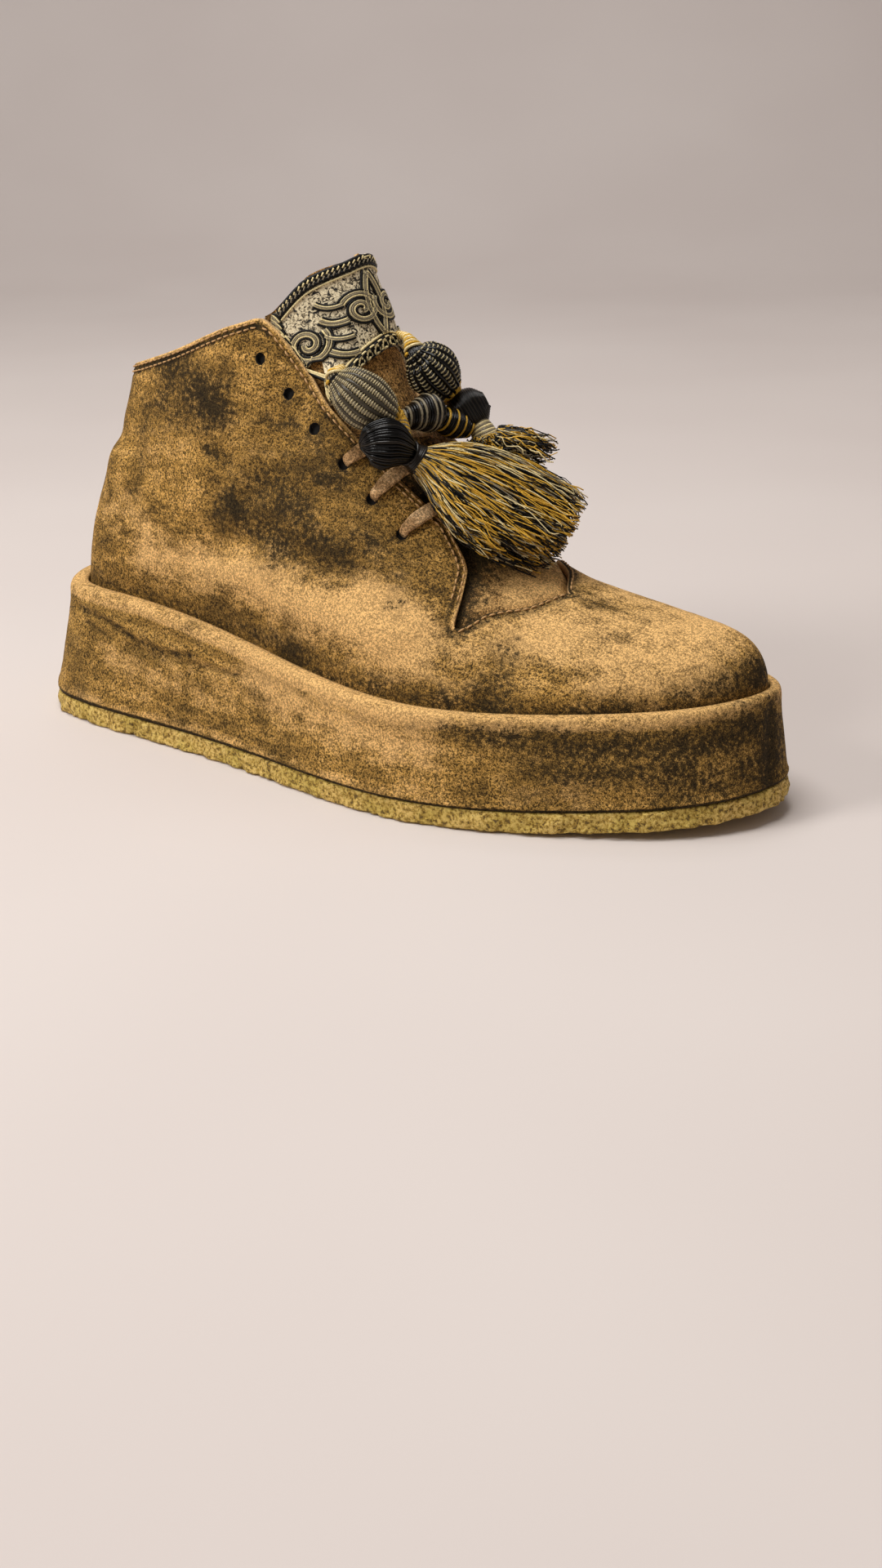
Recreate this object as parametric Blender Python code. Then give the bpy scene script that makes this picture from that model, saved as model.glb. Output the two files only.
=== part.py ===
"""Ankle shoe on a suede-wrapped platform with a crepe outsole, a ribbon-trimmed tongue and two tassels.

The right shoe stands empty on its sole. +X points to the toe, +Y to the inner (medial) side, +Z up.
Tables and driving dimensions are in millimetres; points become metres when a mesh is made.
"""
import math

import bmesh
import bpy
import numpy as np

MM = 0.001
LATERAL, MEDIAL = -1, 1

# Driving dimensions, millimetres
SOLE_LENGTH = 300.0
CREPE_THICK = 7.0
TOE_SPRING = 5.0
SPRING_STARTS_X = 50.0
LIP_HEIGHT_HEEL = 49.3
LIP_HEIGHT_BALL = 36.6
WEDGE_FROM_X = -100.0
WEDGE_TO_X = 50.0
SEAT_DEPTH = 6.0
LIP_CROWN = 1.2
LIP_ROUND = 5.5
WALL = 2.2
GAP = 0.3
INSOLE_THICK = 3.0
TONGUE_THICK = 1.8
TONGUE_DEPTH_FRONT = 3.2
TONGUE_DEPTH_TOP = 4.6
EYELET_RADIUS = 2.1
EYELET_COUNT = 6
RIBBON_DEPTH = 2.7
RIBBON_THICK = 0.9
RIBBON_BELOW_TOP = 2.0
LACE_HALF_WIDTH = 2.5
LACE_HALF_THICK = 0.8
LACE_RIDE = 1.3
LACE_DIP = 3.6

# Sole outlines, toe tip first, then along the lateral side, the heel and back along the medial side
# point, ground x, ground y, lip x, lip y, feather x, feather y
OUTLINES = (
    ("toe tip", 150, 9, 146, 9, 141, 9),
    ("toe lateral front", 139, -19, 135.5, -16.5, 130.5, -13.5),
    ("toe lateral", 108, -40.5, 105.5, -37.5, 102, -32),
    ("ball lateral", 45, -59.9, 44.5, -56.5, 44, -50),
    ("waist lateral", -35, -48.3, -34.5, -45, -34, -38.5),
    ("heel lateral", -116, -38, -110, -33.5, -105, -27.5),
    ("heel lateral back", -138, -27.4, -129, -24.5, -123, -19.5),
    ("heel back", -150, 0, -139.5, 0.5, -132, 1),
    ("heel medial back", -138, 28, -129, 25.5, -123, 21),
    ("heel medial", -116, 38, -110, 34, -105, 28.5),
    ("waist medial", -25, 38, -24.5, 35, -24, 29),
    ("ball medial", 55, 52, 54, 49, 52, 43),
    ("toe medial", 106, 45, 104, 42.5, 101, 36.5),
    ("toe medial front", 138, 30, 134.5, 28, 130, 23.5),
)
HEEL_BACK_ROW = 7

# Last sections: each rib climbs from the feather line to the centre line or the collar ring.
# Station runs from 0 at the toe to 1 at the heel back on each side; angles in degrees;
# handles are shares of the rib's chord.
RIB_COLUMNS = ("station", "top_x", "lateral_y", "medial_y", "top_z", "turn", "rise", "cross", "lean",
               "low_handle", "top_handle")
RIBS = (
    ("toe",           0.000,  125.0,   8.0,  8.0,  61.0,  90,  4,  0, 10, 0.46, 0.44),
    ("toe side",      0.080,  117.0,   6.5,  6.5,  62.0,  48,  3,  4, 10, 0.44, 0.44),
    ("toe flank",     0.184,   98.0,   1.0,  1.0,  64.0,  10,  0, 10,  9, 0.40, 0.42),
    ("vamp point",    0.280,   75.0,  -4.0, -4.0,  68.8,   0,  0, 14,  8, 0.38, 0.40),
    ("throat",        0.336,   58.0,  -2.0, -2.0,  77.0,   0,  0, 10,  8, 0.38, 0.38),
    ("throat corner", 0.382,   45.0,   1.0,  1.0,  86.5,   0,  0,  6,  7, 0.38, 0.36),
    ("lace low",      0.463,   20.0,   4.0,  4.0, 113.0,   0,  0,  0,  6, 0.36, 0.30),
    ("lace mid",      0.550,    6.0,   5.0,  5.0, 140.0,   0,  0,  0,  5, 0.36, 0.26),
    ("tongue top",    0.615,   -6.5,   5.0,  5.0, 173.5,  11, 28,  0,  4, 0.36, 0.20),
    ("tongue side",   0.657,  -16.5, -15.5, 21.5, 167.5,   0, 64,  0,  4, 0.34, 0.15),
    ("collar corner", 0.693,  -29.0, -24.0, 28.8, 154.5,   0, 82,  0,  4, 0.36, 0.30),
    ("collar",        0.744,  -46.5, -26.0, 32.3, 148.5,   0, 85,  0,  4, 0.36, 0.32),
    ("ankle",         0.822,  -72.5, -22.0, 29.0, 139.0,   0, 84,  0,  3, 0.36, 0.34),
    ("heel side",     0.913,  -97.0, -14.0, 21.0, 132.0, -45, 80,  0,  2, 0.36, 0.34),
    ("heel back",     1.000, -107.5,   3.5,  3.5, 129.5, -90, 75,  0,  1, 0.36, 0.34),
)
TONGUE_TOP_STATION = 0.615
TONGUE_DEPTH_STATIONS = (0.28, 0.49)

# Seam at the foot of the throat: distance over the surface from the centre line
# point, station, lateral gap, medial gap
SEAM = (
    ("vamp point",   0.272,  0.0,  0.0),
    ("seam",         0.300, 16.0, 14.0),
    ("seam low",     0.328, 28.5, 24.0),
    ("corner",       0.354, 42.0, 36.0),
    ("facing foot",  0.361, 31.0, 27.0),
    ("facing curve", 0.371, 23.0, 21.0),
    ("facing low",   0.409, 18.5, 18.5),
)
# Facing edges: a shallow curve in side view from the seam to the collar's front corner
FACING_LOW_X, FACING_LOW_Z = 36.5, 89.2
FACING_TOP_X, FACING_TOP_Z = -29.0, 154.5
FACING_BOW = 2.5
COLLAR_CORNER_STATION = 0.693

# Reach of the tongue below the centre line on each side
# point, station, reach
TONGUE_REACH = (
    ("front edge",    0.236, 10.0),
    ("under vamp",    0.262, 23.0),
    ("under seam",    0.300, 35.0),
    ("under corner",  0.350, 47.0),
    ("under facing",  0.410, 36.0),
    ("mid",           0.490, 39.0),
    ("high",          0.587, 53.0),
    ("shoulder",      0.640, 47.0),
    ("top corner",    0.700, 14.0),
)

# Columns of the upper's grid between these stations
# station reached, columns
UPPER_COLUMNS = ((0.080, 4), (0.272, 6), (0.346, 4), (0.354, 2), (0.372, 4), (0.450, 3), (0.630, 7),
                 (0.693, 5), (0.913, 6), (1.000, 4))
UPPER_ROWS = 8
TONGUE_COLUMNS = ((0.236, 0), (0.300, 3), (0.490, 5), (0.557, 2), (0.593, 4), (0.611, 2),
                  (TONGUE_TOP_STATION, 1), (0.688, 5), (0.700, 1))
TONGUE_ROWS = 7
OUTLINE_STEPS = 36
CAP_COLUMNS = 3
FINE_STEPS = 2000
RIB_STEPS = 241

EYELET_TOP = (-30.0, -27.5, 140.0)
EYELET_LOW = (27.0, -28.0, 86.5)

# Ribbon on the tongue: reach below the centre line, from its lower edge upward
# point, station, reach
RIBBON_REACH = (
    ("lower edge",   0.557,  5.0),
    ("lower side",   0.563, 16.0),
    ("lower corner", 0.576, 29.0),
    ("facing",       0.593, 42.0),
    ("shoulder",     0.640, 42.0),
    ("top corner",   0.688, 14.0),
)
RIBBON_COLUMNS = ((0.557, 0), (0.593, 4), (0.611, 2), (TONGUE_TOP_STATION, 1), (0.688, 5))
RIBBON_TOP_STATION = 0.611
RIBBON_TUCK = 0.03
RIBBON_ROWS = 6
STATION_NEAR = 1e-6

# Lace bars: row of holes they join, counted from the top, and how far the middle shifts along the shoe
# bar, holes, shift
LACE_BARS = (
    ("high", 4, -0.060),
    ("mid",  5, -0.040),
    ("low",  6, -0.028),
)
# Lace risers between bars: where they start and end, as shares of half a bar, lateral negative
# riser, upper bar, upper share, lower bar, lower share
LACE_RISERS = (
    ("lower", 1, -0.55, 2, 0.45),
    ("upper", 0, -0.55, 1, 0.45),
)
LACE_EDGE_SHARE = 0.6
LACE_STEPS = 12
LACE_RING = ((1.0, 0.0), (0.8, 1.0), (-0.8, 1.0), (-1.0, 0.0), (-0.8, -1.0), (0.8, -1.0))

# Tassel strands, each fused into its tassel: middle line, half sizes across and off the shoe, and lock depth
# section, x, y, z, half width, half thickness, lock depth
LATERAL_BEAD = (
    ("hanger",          -3.8, -16.4, 137.0,  1.0,  0.9, 0.00),
    ("cord",             0.5, -22.5, 137.8,  1.2,  1.2, 0.00),
    ("bead top",         2.5, -28.0, 135.9,  3.5,  3.5, 0.00),
    ("bead upper",       6.0, -26.6, 133.2,  7.6,  7.4, 0.03),
    ("bead middle",     11.2, -24.2, 128.6,  9.3,  9.0, 0.03),
    ("bead lower",      15.8, -21.3, 124.6,  7.4,  7.2, 0.03),
    ("bead foot",       19.1, -17.8, 121.1,  3.2,  3.2, 0.00),
    ("link",            22.5, -20.0, 117.0,  2.8,  2.8, 0.00),
    ("link foot",       25.0, -22.0, 114.0,  2.4,  2.4, 0.00),
)
LATERAL_SKIRT = (
    ("head top",        16.4, -34.0, 114.4,  1.5,  1.5, 0.00),
    ("head upper",      19.2, -31.8, 115.1,  7.2,  7.2, 0.03),
    ("head middle",     23.2, -27.8, 115.2,  9.3,  9.3, 0.03),
    ("head lower",      26.7, -23.1, 114.2,  6.6,  6.6, 0.03),
    ("neck",            28.7, -18.3, 112.8,  3.8,  3.8, 0.00),
    ("skirt root",      31.5, -16.1, 110.6,  5.2,  4.6, 0.06),
    ("skirt upper",     37.9, -10.7, 105.8,  9.0,  5.8, 0.09),
    ("skirt middle",    45.2,  -5.0,  99.8, 12.5,  6.6, 0.11),
    ("skirt lower",     54.5,   0.7,  92.7, 15.0,  7.0, 0.12),
    ("skirt hem",       64.8,   5.7,  85.8, 16.5,  7.2, 0.14),
)
LATERAL_COIL = (
    ("loop",            18.8, -17.0, 121.2,  2.2,  2.2, 0.00),
    ("coil start",      21.3, -10.8, 122.2,  4.2,  4.2, 0.00),
    ("coil middle",     23.0,  -4.6, 122.6,  6.2,  6.2, 0.04),
    ("coil end",        23.8,   0.9, 122.1,  2.4,  2.4, 0.00),
)
MEDIAL_STRAND = (
    ("hanger",           1.9,   9.6, 145.1,  1.0,  0.9, 0.00),
    ("cord",             7.5,   6.0, 145.0,  1.2,  1.2, 0.00),
    ("bead top",        13.2,   2.0, 141.4,  3.4,  3.4, 0.00),
    ("bead upper",      15.2,   4.2, 138.2,  7.6,  7.4, 0.03),
    ("bead middle",     17.0,   7.0, 134.5,  9.3,  9.0, 0.03),
    ("bead lower",      18.6,  10.7, 129.8,  7.2,  7.0, 0.03),
    ("bead foot",       19.6,  14.8, 125.0,  3.2,  3.2, 0.00),
    ("link",            26.5,  16.0, 118.0,  3.2,  3.2, 0.00),
    ("neck",            31.0,  16.0, 113.5,  3.8,  3.8, 0.00),
    ("skirt root",      32.8,  16.3, 110.4,  5.0,  4.4, 0.06),
    ("skirt middle",    43.4,  21.0, 105.6,  7.5,  6.0, 0.10),
    ("skirt hem",       55.4,  29.0, 100.5,  8.5,  6.5, 0.14),
)
MEDIAL_BARREL = (
    ("barrel start",    20.3,  12.0, 118.8,  3.0,  3.0, 0.00),
    ("barrel quarter",  22.2,  14.5, 120.5,  6.3,  6.3, 0.04),
    ("barrel middle",   24.1,  17.2, 122.4,  7.2,  7.2, 0.04),
    ("barrel far",      26.5,  19.7, 124.5,  6.3,  6.3, 0.04),
    ("barrel end",      28.6,  21.8, 126.0,  2.6,  2.6, 0.00),
)
TASSEL_OUT = (0.70, -0.20, 0.68)
TASSEL_SIDES = 12
TASSEL_STEPS = 2


def clear_scene():
    """Removes whatever the file holds before the model is made."""
    for item in list(bpy.data.objects):
        bpy.data.objects.remove(item, do_unlink=True)


def column(rows, place):
    return np.array([row[place] for row in rows], float)


def monotone(x, xs, ys, free_start=False, free_end=False):
    """Piecewise cubic through the rows that never overshoots them, level at its ends unless freed."""
    x = np.asarray(x, float)
    widths = np.diff(xs)
    slopes = np.diff(ys) / widths
    tangents = np.zeros(len(xs))
    tangents[0] = slopes[0] if free_start else 0.0
    tangents[-1] = slopes[-1] if free_end else 0.0
    for k in range(1, len(xs) - 1):
        if slopes[k - 1] * slopes[k] > 0:
            near = 2 * widths[k] + widths[k - 1]
            far = widths[k] + 2 * widths[k - 1]
            tangents[k] = (near + far) / (near / slopes[k - 1] + far / slopes[k])
    k = np.clip(np.searchsorted(xs, x, side="right") - 1, 0, len(xs) - 2)
    t = (x - xs[k]) / widths[k]
    return ((2 * t**3 - 3 * t**2 + 1) * ys[k] + (t**3 - 2 * t**2 + t) * widths[k] * tangents[k]
            + (3 * t**2 - 2 * t**3) * ys[k + 1] + (t**3 - t**2) * widths[k] * tangents[k + 1])


def closed_spline(points, knots, t):
    """Periodic cubic spline through the points, read at the parameters t."""
    count = len(points)
    widths = np.diff(knots)
    system = np.zeros((count, count))
    right = np.zeros(points.shape)
    for i in range(count):
        before = widths[i - 1]
        after = widths[i]
        system[i, (i - 1) % count] += 1 / before
        system[i, i] += 2 / before + 2 / after
        system[i, (i + 1) % count] += 1 / after
        right[i] = 3 * ((points[i] - points[i - 1]) / before**2
                        + (points[(i + 1) % count] - points[i]) / after**2)
    tangents = np.linalg.solve(system, right)
    t = np.mod(t, knots[-1])
    k = np.clip(np.searchsorted(knots, t, side="right") - 1, 0, count - 1)
    j = (k + 1) % count
    width = widths[k][:, None]
    s = (t - knots[k])[:, None] / width
    return ((2 * s**3 - 3 * s**2 + 1) * points[k] + (s**3 - 2 * s**2 + s) * width * tangents[k]
            + (3 * s**2 - 2 * s**3) * points[j] + (s**3 - s**2) * width * tangents[j])


GROUND = np.stack([column(OUTLINES, 1), column(OUTLINES, 2)], axis=1)
LIP = np.stack([column(OUTLINES, 3), column(OUTLINES, 4)], axis=1)
FEATHER = np.stack([column(OUTLINES, 5), column(OUTLINES, 6)], axis=1)
CHORDS = np.linalg.norm(np.roll(GROUND, -1, axis=0) - GROUND, axis=1)
KNOTS = np.concatenate([[0.0], np.cumsum(np.sqrt(CHORDS))])


def half_shares(side):
    """Outline parameters of one side, toe to heel back, with their share of the feather line's length."""
    start = 0.0 if side == LATERAL else KNOTS[-1]
    t = np.linspace(start, KNOTS[HEEL_BACK_ROW], FINE_STEPS)
    steps = np.linalg.norm(np.diff(closed_spline(FEATHER, KNOTS, t), axis=0), axis=1)
    length = np.concatenate([[0.0], np.cumsum(steps)])
    return t, length / length[-1]


SHARES = {LATERAL: half_shares(LATERAL), MEDIAL: half_shares(MEDIAL)}


def outline_at(points, station, side):
    t, share = SHARES[side]
    return closed_spline(points, KNOTS, np.interp(station, share, t))


def outline_normal(points, station, side):
    """Unit vectors pointing out of an outline, in plan."""
    step = 0.001
    ahead = outline_at(points, np.clip(station + step, 0, 1), side)
    behind = outline_at(points, np.clip(station - step, 0, 1), side)
    along = ahead - behind
    normal = side * np.stack([along[:, 1], -along[:, 0]], axis=1)
    return normal / np.linalg.norm(normal, axis=1)[:, None]


def toe_spring(x):
    share = np.clip((np.asarray(x) - SPRING_STARTS_X) / (SOLE_LENGTH / 2 - SPRING_STARTS_X), 0, 1)
    return TOE_SPRING * share**2


def lip_height(x):
    """Height where the upper leaves the platform: a wedge from heel to ball plus the toe spring."""
    t = np.clip((np.asarray(x) - WEDGE_FROM_X) / (WEDGE_TO_X - WEDGE_FROM_X), 0, 1)
    wedge = LIP_HEIGHT_HEEL + (LIP_HEIGHT_BALL - LIP_HEIGHT_HEEL) * t * t * (3 - 2 * t)
    return wedge + toe_spring(x)


def seat_height(x):
    return lip_height(x) - SEAT_DEPTH


def rib_value(name, station):
    """One column of the ribs; their tops turn a corner where the centre line meets the tongue's top edge."""
    place = RIB_COLUMNS.index(name) + 1
    stations = column(RIBS, 1)
    values = column(RIBS, place)
    sideways = name.endswith("_y")
    if not (sideways or name.startswith("top_") and name != "top_handle"):
        return monotone(station, stations, values)
    front = stations <= TONGUE_TOP_STATION
    rear = stations >= TONGUE_TOP_STATION
    climb = monotone(np.minimum(station, TONGUE_TOP_STATION), stations[front], values[front], free_end=True)
    edge = monotone(np.maximum(station, TONGUE_TOP_STATION), stations[rear], values[rear], sideways, sideways)
    return np.where(station <= TONGUE_TOP_STATION, climb, edge)


def rib_curves(station, side):
    """Four Bezier points for each rib: foot, low handle, top handle and top."""
    plan = outline_at(FEATHER, station, side)
    foot = np.column_stack([plan, seat_height(plan[:, 0]) + GAP])
    top_y = rib_value("lateral_y" if side == LATERAL else "medial_y", station)
    top = np.column_stack([rib_value("top_x", station), top_y, rib_value("top_z", station)])
    lean = np.radians(rib_value("lean", station))
    outward = outline_normal(FEATHER, station, side)
    start = np.column_stack([outward * np.sin(lean)[:, None], np.cos(lean)])
    turn = np.radians(rib_value("turn", station))
    rise = np.radians(rib_value("rise", station) - side * rib_value("cross", station))
    end = np.column_stack([-np.sin(turn) * np.cos(rise), -side * np.cos(turn) * np.cos(rise), np.sin(rise)])
    chord = np.linalg.norm(top - foot, axis=1)
    low = foot + start * (chord * rib_value("low_handle", station))[:, None]
    high = top - end * (chord * rib_value("top_handle", station))[:, None]
    return foot, low, high, top


def last_surface(station, v, side):
    """Points on the outside of the upper; v runs from 0 at the feather line to 1 at the rib's top."""
    station = np.atleast_1d(np.asarray(station, float))
    foot, low, high, top = rib_curves(station, side)
    v = np.broadcast_to(np.asarray(v, float), station.shape)[:, None]
    return (1 - v)**3 * foot + 3 * v * (1 - v)**2 * low + 3 * v**2 * (1 - v) * high + v**3 * top


def last_normal(station, v, side):
    """Unit normals of that surface, pointing out of the shoe."""
    step = 0.0005
    station = np.atleast_1d(np.asarray(station, float))
    v = np.broadcast_to(np.asarray(v, float), station.shape)
    along = (last_surface(np.clip(station + step, 0, 1), v, side)
             - last_surface(np.clip(station - step, 0, 1), v, side))
    up = (last_surface(station, np.clip(v + step, 0, 1), side)
          - last_surface(station, np.clip(v - step, 0, 1), side))
    normal = -side * np.cross(up, along)
    return normal / np.linalg.norm(normal, axis=1)[:, None]


def height_at_gap(station, gap, side):
    """The v of the point that lies this far below each rib's top, measured along the rib."""
    steps = np.linspace(0, 1, RIB_STEPS)
    values = []
    for s, g in zip(station, gap):
        rib = last_surface(np.full(steps.shape, s), steps, side)
        from_top = np.cumsum(np.linalg.norm(np.diff(rib[::-1], axis=0), axis=1))
        values.append(1 - np.interp(g, np.concatenate([[0.0], from_top]), steps))
    return np.array(values)


def height_at_facing(station, side):
    """The v where each rib crosses the facing edge, seen from the side."""
    line = np.array([FACING_TOP_X - FACING_LOW_X, FACING_TOP_Z - FACING_LOW_Z])
    length = np.linalg.norm(line)
    ahead = np.array([line[1], -line[0]]) / length
    steps = np.linspace(0, 1, RIB_STEPS)
    values = []
    for s in station:
        rib = last_surface(np.full(steps.shape, s), steps, side)[:, (0, 2)] - (FACING_LOW_X, FACING_LOW_Z)
        share = np.clip(rib @ line / length**2, 0, 1)
        past = rib @ ahead + FACING_BOW * np.sin(np.pi * share)
        crossing = int(np.argmax(past > 0)) if past[-1] > 0 else 0
        if crossing == 0:
            values.append(1.0)
            continue
        values.append(np.interp(0.0, past[crossing - 1:crossing + 1], steps[crossing - 1:crossing + 1]))
    return np.array(values)


def edge_height(station, side):
    """The v of the upper's top edge: centre line, seam, facing and collar in turn."""
    height = np.ones(station.shape)
    seam = (station >= SEAM[0][1]) & (station <= SEAM[-1][1])
    gap = monotone(station[seam], column(SEAM, 1), column(SEAM, 2 if side == LATERAL else 3), free_end=True)
    height[seam] = height_at_gap(station[seam], gap, side)
    facing = (station > SEAM[-1][1]) & (station < COLLAR_CORNER_STATION)
    height[facing] = height_at_facing(station[facing], side)
    return height


def spread_stations(stops, start=0.0):
    """Stations along the shoe: so many columns up to each stop."""
    stations = [start]
    for reached, count in stops:
        stations.extend(np.linspace(stations[-1], reached, count + 1)[1:])
    return np.array(stations)


def plain_material(name, colour, roughness, metallic=0.0):
    material = bpy.data.materials.new(name)
    material.use_nodes = True
    shader = material.node_tree.nodes["Principled BSDF"]
    shader.inputs["Base Color"].default_value = (*colour, 1.0)
    shader.inputs["Roughness"].default_value = roughness
    shader.inputs["Metallic"].default_value = metallic
    return material


def plan_centre():
    """Middle of the outsole's box in plan, which becomes the origin."""
    edge = closed_spline(GROUND, KNOTS, np.linspace(0, KNOTS[-1], FINE_STEPS))
    return np.append((edge.min(axis=0) + edge.max(axis=0)) / 2, 0.0)


CENTRE = plan_centre()


def make_object(name, points, faces, material):
    mesh = bpy.data.meshes.new(name)
    mesh.from_pydata(((np.asarray(points) - CENTRE) * MM).tolist(), [], faces)
    mesh.update()
    shape = bmesh.new()
    shape.from_mesh(mesh)
    bmesh.ops.recalc_face_normals(shape, faces=shape.faces)
    shape.to_mesh(mesh)
    shape.free()
    mesh.shade_smooth()
    mesh.set_sharp_from_angle(angle=math.radians(40))
    mesh.materials.append(material)
    item = bpy.data.objects.new(name, mesh)
    bpy.context.scene.collection.objects.link(item)
    return item


def thicken(outer, inner, faces):
    """Closed solid between two matching sheets of points."""
    count = len(outer)
    solid = [tuple(face) for face in faces]
    solid += [tuple(count + i for i in reversed(face)) for face in faces]
    used = {}
    for face in faces:
        for a, b in zip(face, face[1:] + face[:1]):
            used[(a, b)] = True
    for a, b in used:
        if (b, a) not in used:
            solid.append((b, a, count + a, count + b))
    return np.concatenate([outer, inner]), solid


def vertex_normals(points, faces):
    """Area-weighted normals of a sheet of quads and triangles."""
    normals = np.zeros(points.shape)
    for face in faces:
        corner = points[list(face)]
        area = np.zeros(3)
        for k in range(1, len(face) - 1):
            area += np.cross(corner[k] - corner[0], corner[k + 1] - corner[0])
        normals[list(face)] += area
    return normals / np.linalg.norm(normals, axis=1)[:, None]


class Sheet:
    """Grid of points over both sides of the last, joined along the centre line."""

    def __init__(self):
        self.points = []
        self.normals = []
        self.keys = {}
        self.faces = []

    def vertex(self, key, point, normal):
        if key not in self.keys:
            self.keys[key] = len(self.points)
            self.points.append(point)
            self.normals.append(normal)
        return self.keys[key]

    def side(self, side, stations, bottom, top, rows, joined_to, shared_columns):
        """Adds one side; tops up to the station joined_to are shared with the other side."""
        grid = []
        for i, station in enumerate(stations):
            v = np.linspace(bottom[i], top[i], rows + 1)
            column_points = last_surface(np.full(v.shape, station), v, side)
            column_normals = last_normal(np.full(v.shape, station), v, side)
            line = []
            for r in range(rows + 1):
                own = side
                if (r == rows and station <= joined_to + 1e-9) or i in shared_columns:
                    own = 0
                line.append(self.vertex((own, i, r), column_points[r], column_normals[r]))
            grid.append(line)
        for a, b in zip(grid, grid[1:]):
            for r in range(rows):
                face = (a[r], b[r], b[r + 1], a[r + 1])
                self.faces.append(face if side == MEDIAL else tuple(reversed(face)))

    def arrays(self):
        return np.array(self.points), np.array(self.normals), self.faces


def loop_of(station, points, inset=0.0):
    """Closed loop of plan points: lateral toe to heel, then medial heel to toe."""
    lateral = outline_at(points, station, LATERAL) - inset * outline_normal(points, station, LATERAL)
    medial = outline_at(points, station, MEDIAL) - inset * outline_normal(points, station, MEDIAL)
    return np.concatenate([lateral, medial[-2:0:-1]])


SOLE_STATIONS = np.linspace(0, 1, OUTLINE_STEPS + 1)


def add_cap(points, ring, height, flip):
    """Closes a loop with rows of quads from its lateral to its medial points, at the given height."""
    total = len(ring)
    rows = []
    for i in range(total // 2 + 1):
        a = ring[i]
        b = ring[(total - i) % total]
        row = [a]
        for share in np.linspace(0, 1, CAP_COLUMNS + 1)[1:-1]:
            if a != b:
                x, y = (1 - share) * points[a][:2] + share * points[b][:2]
                points.append(np.array([x, y, float(height(x))]))
                row.append(len(points) - 1)
        rows.append(row + [b] if a != b else row)
    faces = []
    for near, far in zip(rows, rows[1:]):
        for k in range(CAP_COLUMNS):
            quad = [near[min(k, len(near) - 1)], far[min(k, len(far) - 1)],
                    far[min(k + 1, len(far) - 1)], near[min(k + 1, len(near) - 1)]]
            quad = list(dict.fromkeys(quad))
            faces.append(tuple(reversed(quad)) if flip else tuple(quad))
    return faces


def stacked_loops(loops, floor, ceiling):
    """Solid through a stack of matching closed loops; floor and ceiling give the heights of its ends."""
    points = list(np.concatenate(loops))
    count = len(loops[0])
    last = len(points) - count
    faces = []
    for level in range(len(loops) - 1):
        base = level * count
        for i in range(count):
            j = (i + 1) % count
            faces.append((base + i, base + j, base + count + j, base + count + i))
    faces += add_cap(points, list(range(count)), floor, True)
    faces += add_cap(points, list(range(last, last + count)), ceiling, False)
    return np.array(points), faces


def raised(plan, height):
    return np.column_stack([plan, height])


def make_outsole():
    """Crepe slab under the whole platform, flat from heel to ball and sprung at the toe."""
    edge_round = 1.2
    full = loop_of(SOLE_STATIONS, GROUND)
    drawn_in = loop_of(SOLE_STATIONS, GROUND, edge_round)
    loops = [
        raised(drawn_in, toe_spring(drawn_in[:, 0])),
        raised(full, toe_spring(full[:, 0]) + edge_round),
        raised(full, toe_spring(full[:, 0]) + CREPE_THICK - edge_round),
        raised(drawn_in, toe_spring(drawn_in[:, 0]) + CREPE_THICK),
    ]
    points, faces = stacked_loops(loops, toe_spring, lambda x: toe_spring(x) + CREPE_THICK)
    return make_object("outsole", points, faces, plain_material("crepe", (0.42, 0.34, 0.12), 0.75))


def make_platform():
    """Wrapped wedge: flared side, rounded lip and a sunk seat that the upper and insole stand in."""
    flare_levels = (0.0, 0.12, 0.35, 0.65, 1.0)
    flare_power = 1.3
    lip_angles = (25, 50, 75, 100)
    lip_reach = 0.72
    wall_clearance = 0.45
    crepe_step = 0.4
    ground = loop_of(SOLE_STATIONS, GROUND, crepe_step)
    lip = loop_of(SOLE_STATIONS, LIP)
    feather = loop_of(SOLE_STATIONS, FEATHER)
    lean = rib_value("lean", SOLE_STATIONS)
    lean = np.radians(np.concatenate([lean, lean[-2:0:-1]]))
    foot = toe_spring(ground[:, 0]) + CREPE_THICK + GAP
    shoulder = lip_height(lip[:, 0]) + LIP_CROWN - LIP_ROUND
    loops = []
    for level in flare_levels:
        share = 1 - (1 - level)**flare_power
        plan = ground + (lip - ground) * share
        loops.append(raised(plan, foot + (shoulder - foot) * level))
    ledge = np.linalg.norm(feather - lip, axis=1)
    inward = (feather - lip) / ledge[:, None]
    lean_out = SEAT_DEPTH * np.tan(lean)
    crown_reach = ledge - lean_out - wall_clearance
    for angle in lip_angles:
        turn = math.radians(angle)
        plan = lip + inward * (lip_reach * crown_reach * (1 - math.cos(turn)))[:, None]
        loops.append(raised(plan, shoulder + LIP_ROUND * math.sin(turn)))
    inner_top = lip + inward * crown_reach[:, None]
    loops.append(raised(inner_top, lip_height(inner_top[:, 0]) - crepe_step))
    inner_foot = lip + inward * (ledge - wall_clearance)[:, None]
    loops.append(raised(inner_foot, seat_height(inner_foot[:, 0])))
    points, faces = stacked_loops(loops, lambda x: toe_spring(x) + CREPE_THICK + GAP, seat_height)
    return make_object("platform", points, faces, plain_material("platform_suede", (0.22, 0.15, 0.06), 0.8))


def make_insole():
    """Footbed lying on the platform inside the upper."""
    inset = WALL + 2 * GAP
    plan = loop_of(SOLE_STATIONS, FEATHER, inset)
    base = seat_height(plan[:, 0]) + GAP
    loops = [raised(plan, base), raised(plan, base + INSOLE_THICK)]
    points, faces = stacked_loops(loops, lambda x: seat_height(x) + GAP,
                                  lambda x: seat_height(x) + GAP + INSOLE_THICK)
    return make_object("insole", points, faces, plain_material("insole_leather", (0.45, 0.30, 0.14), 0.7))


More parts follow.
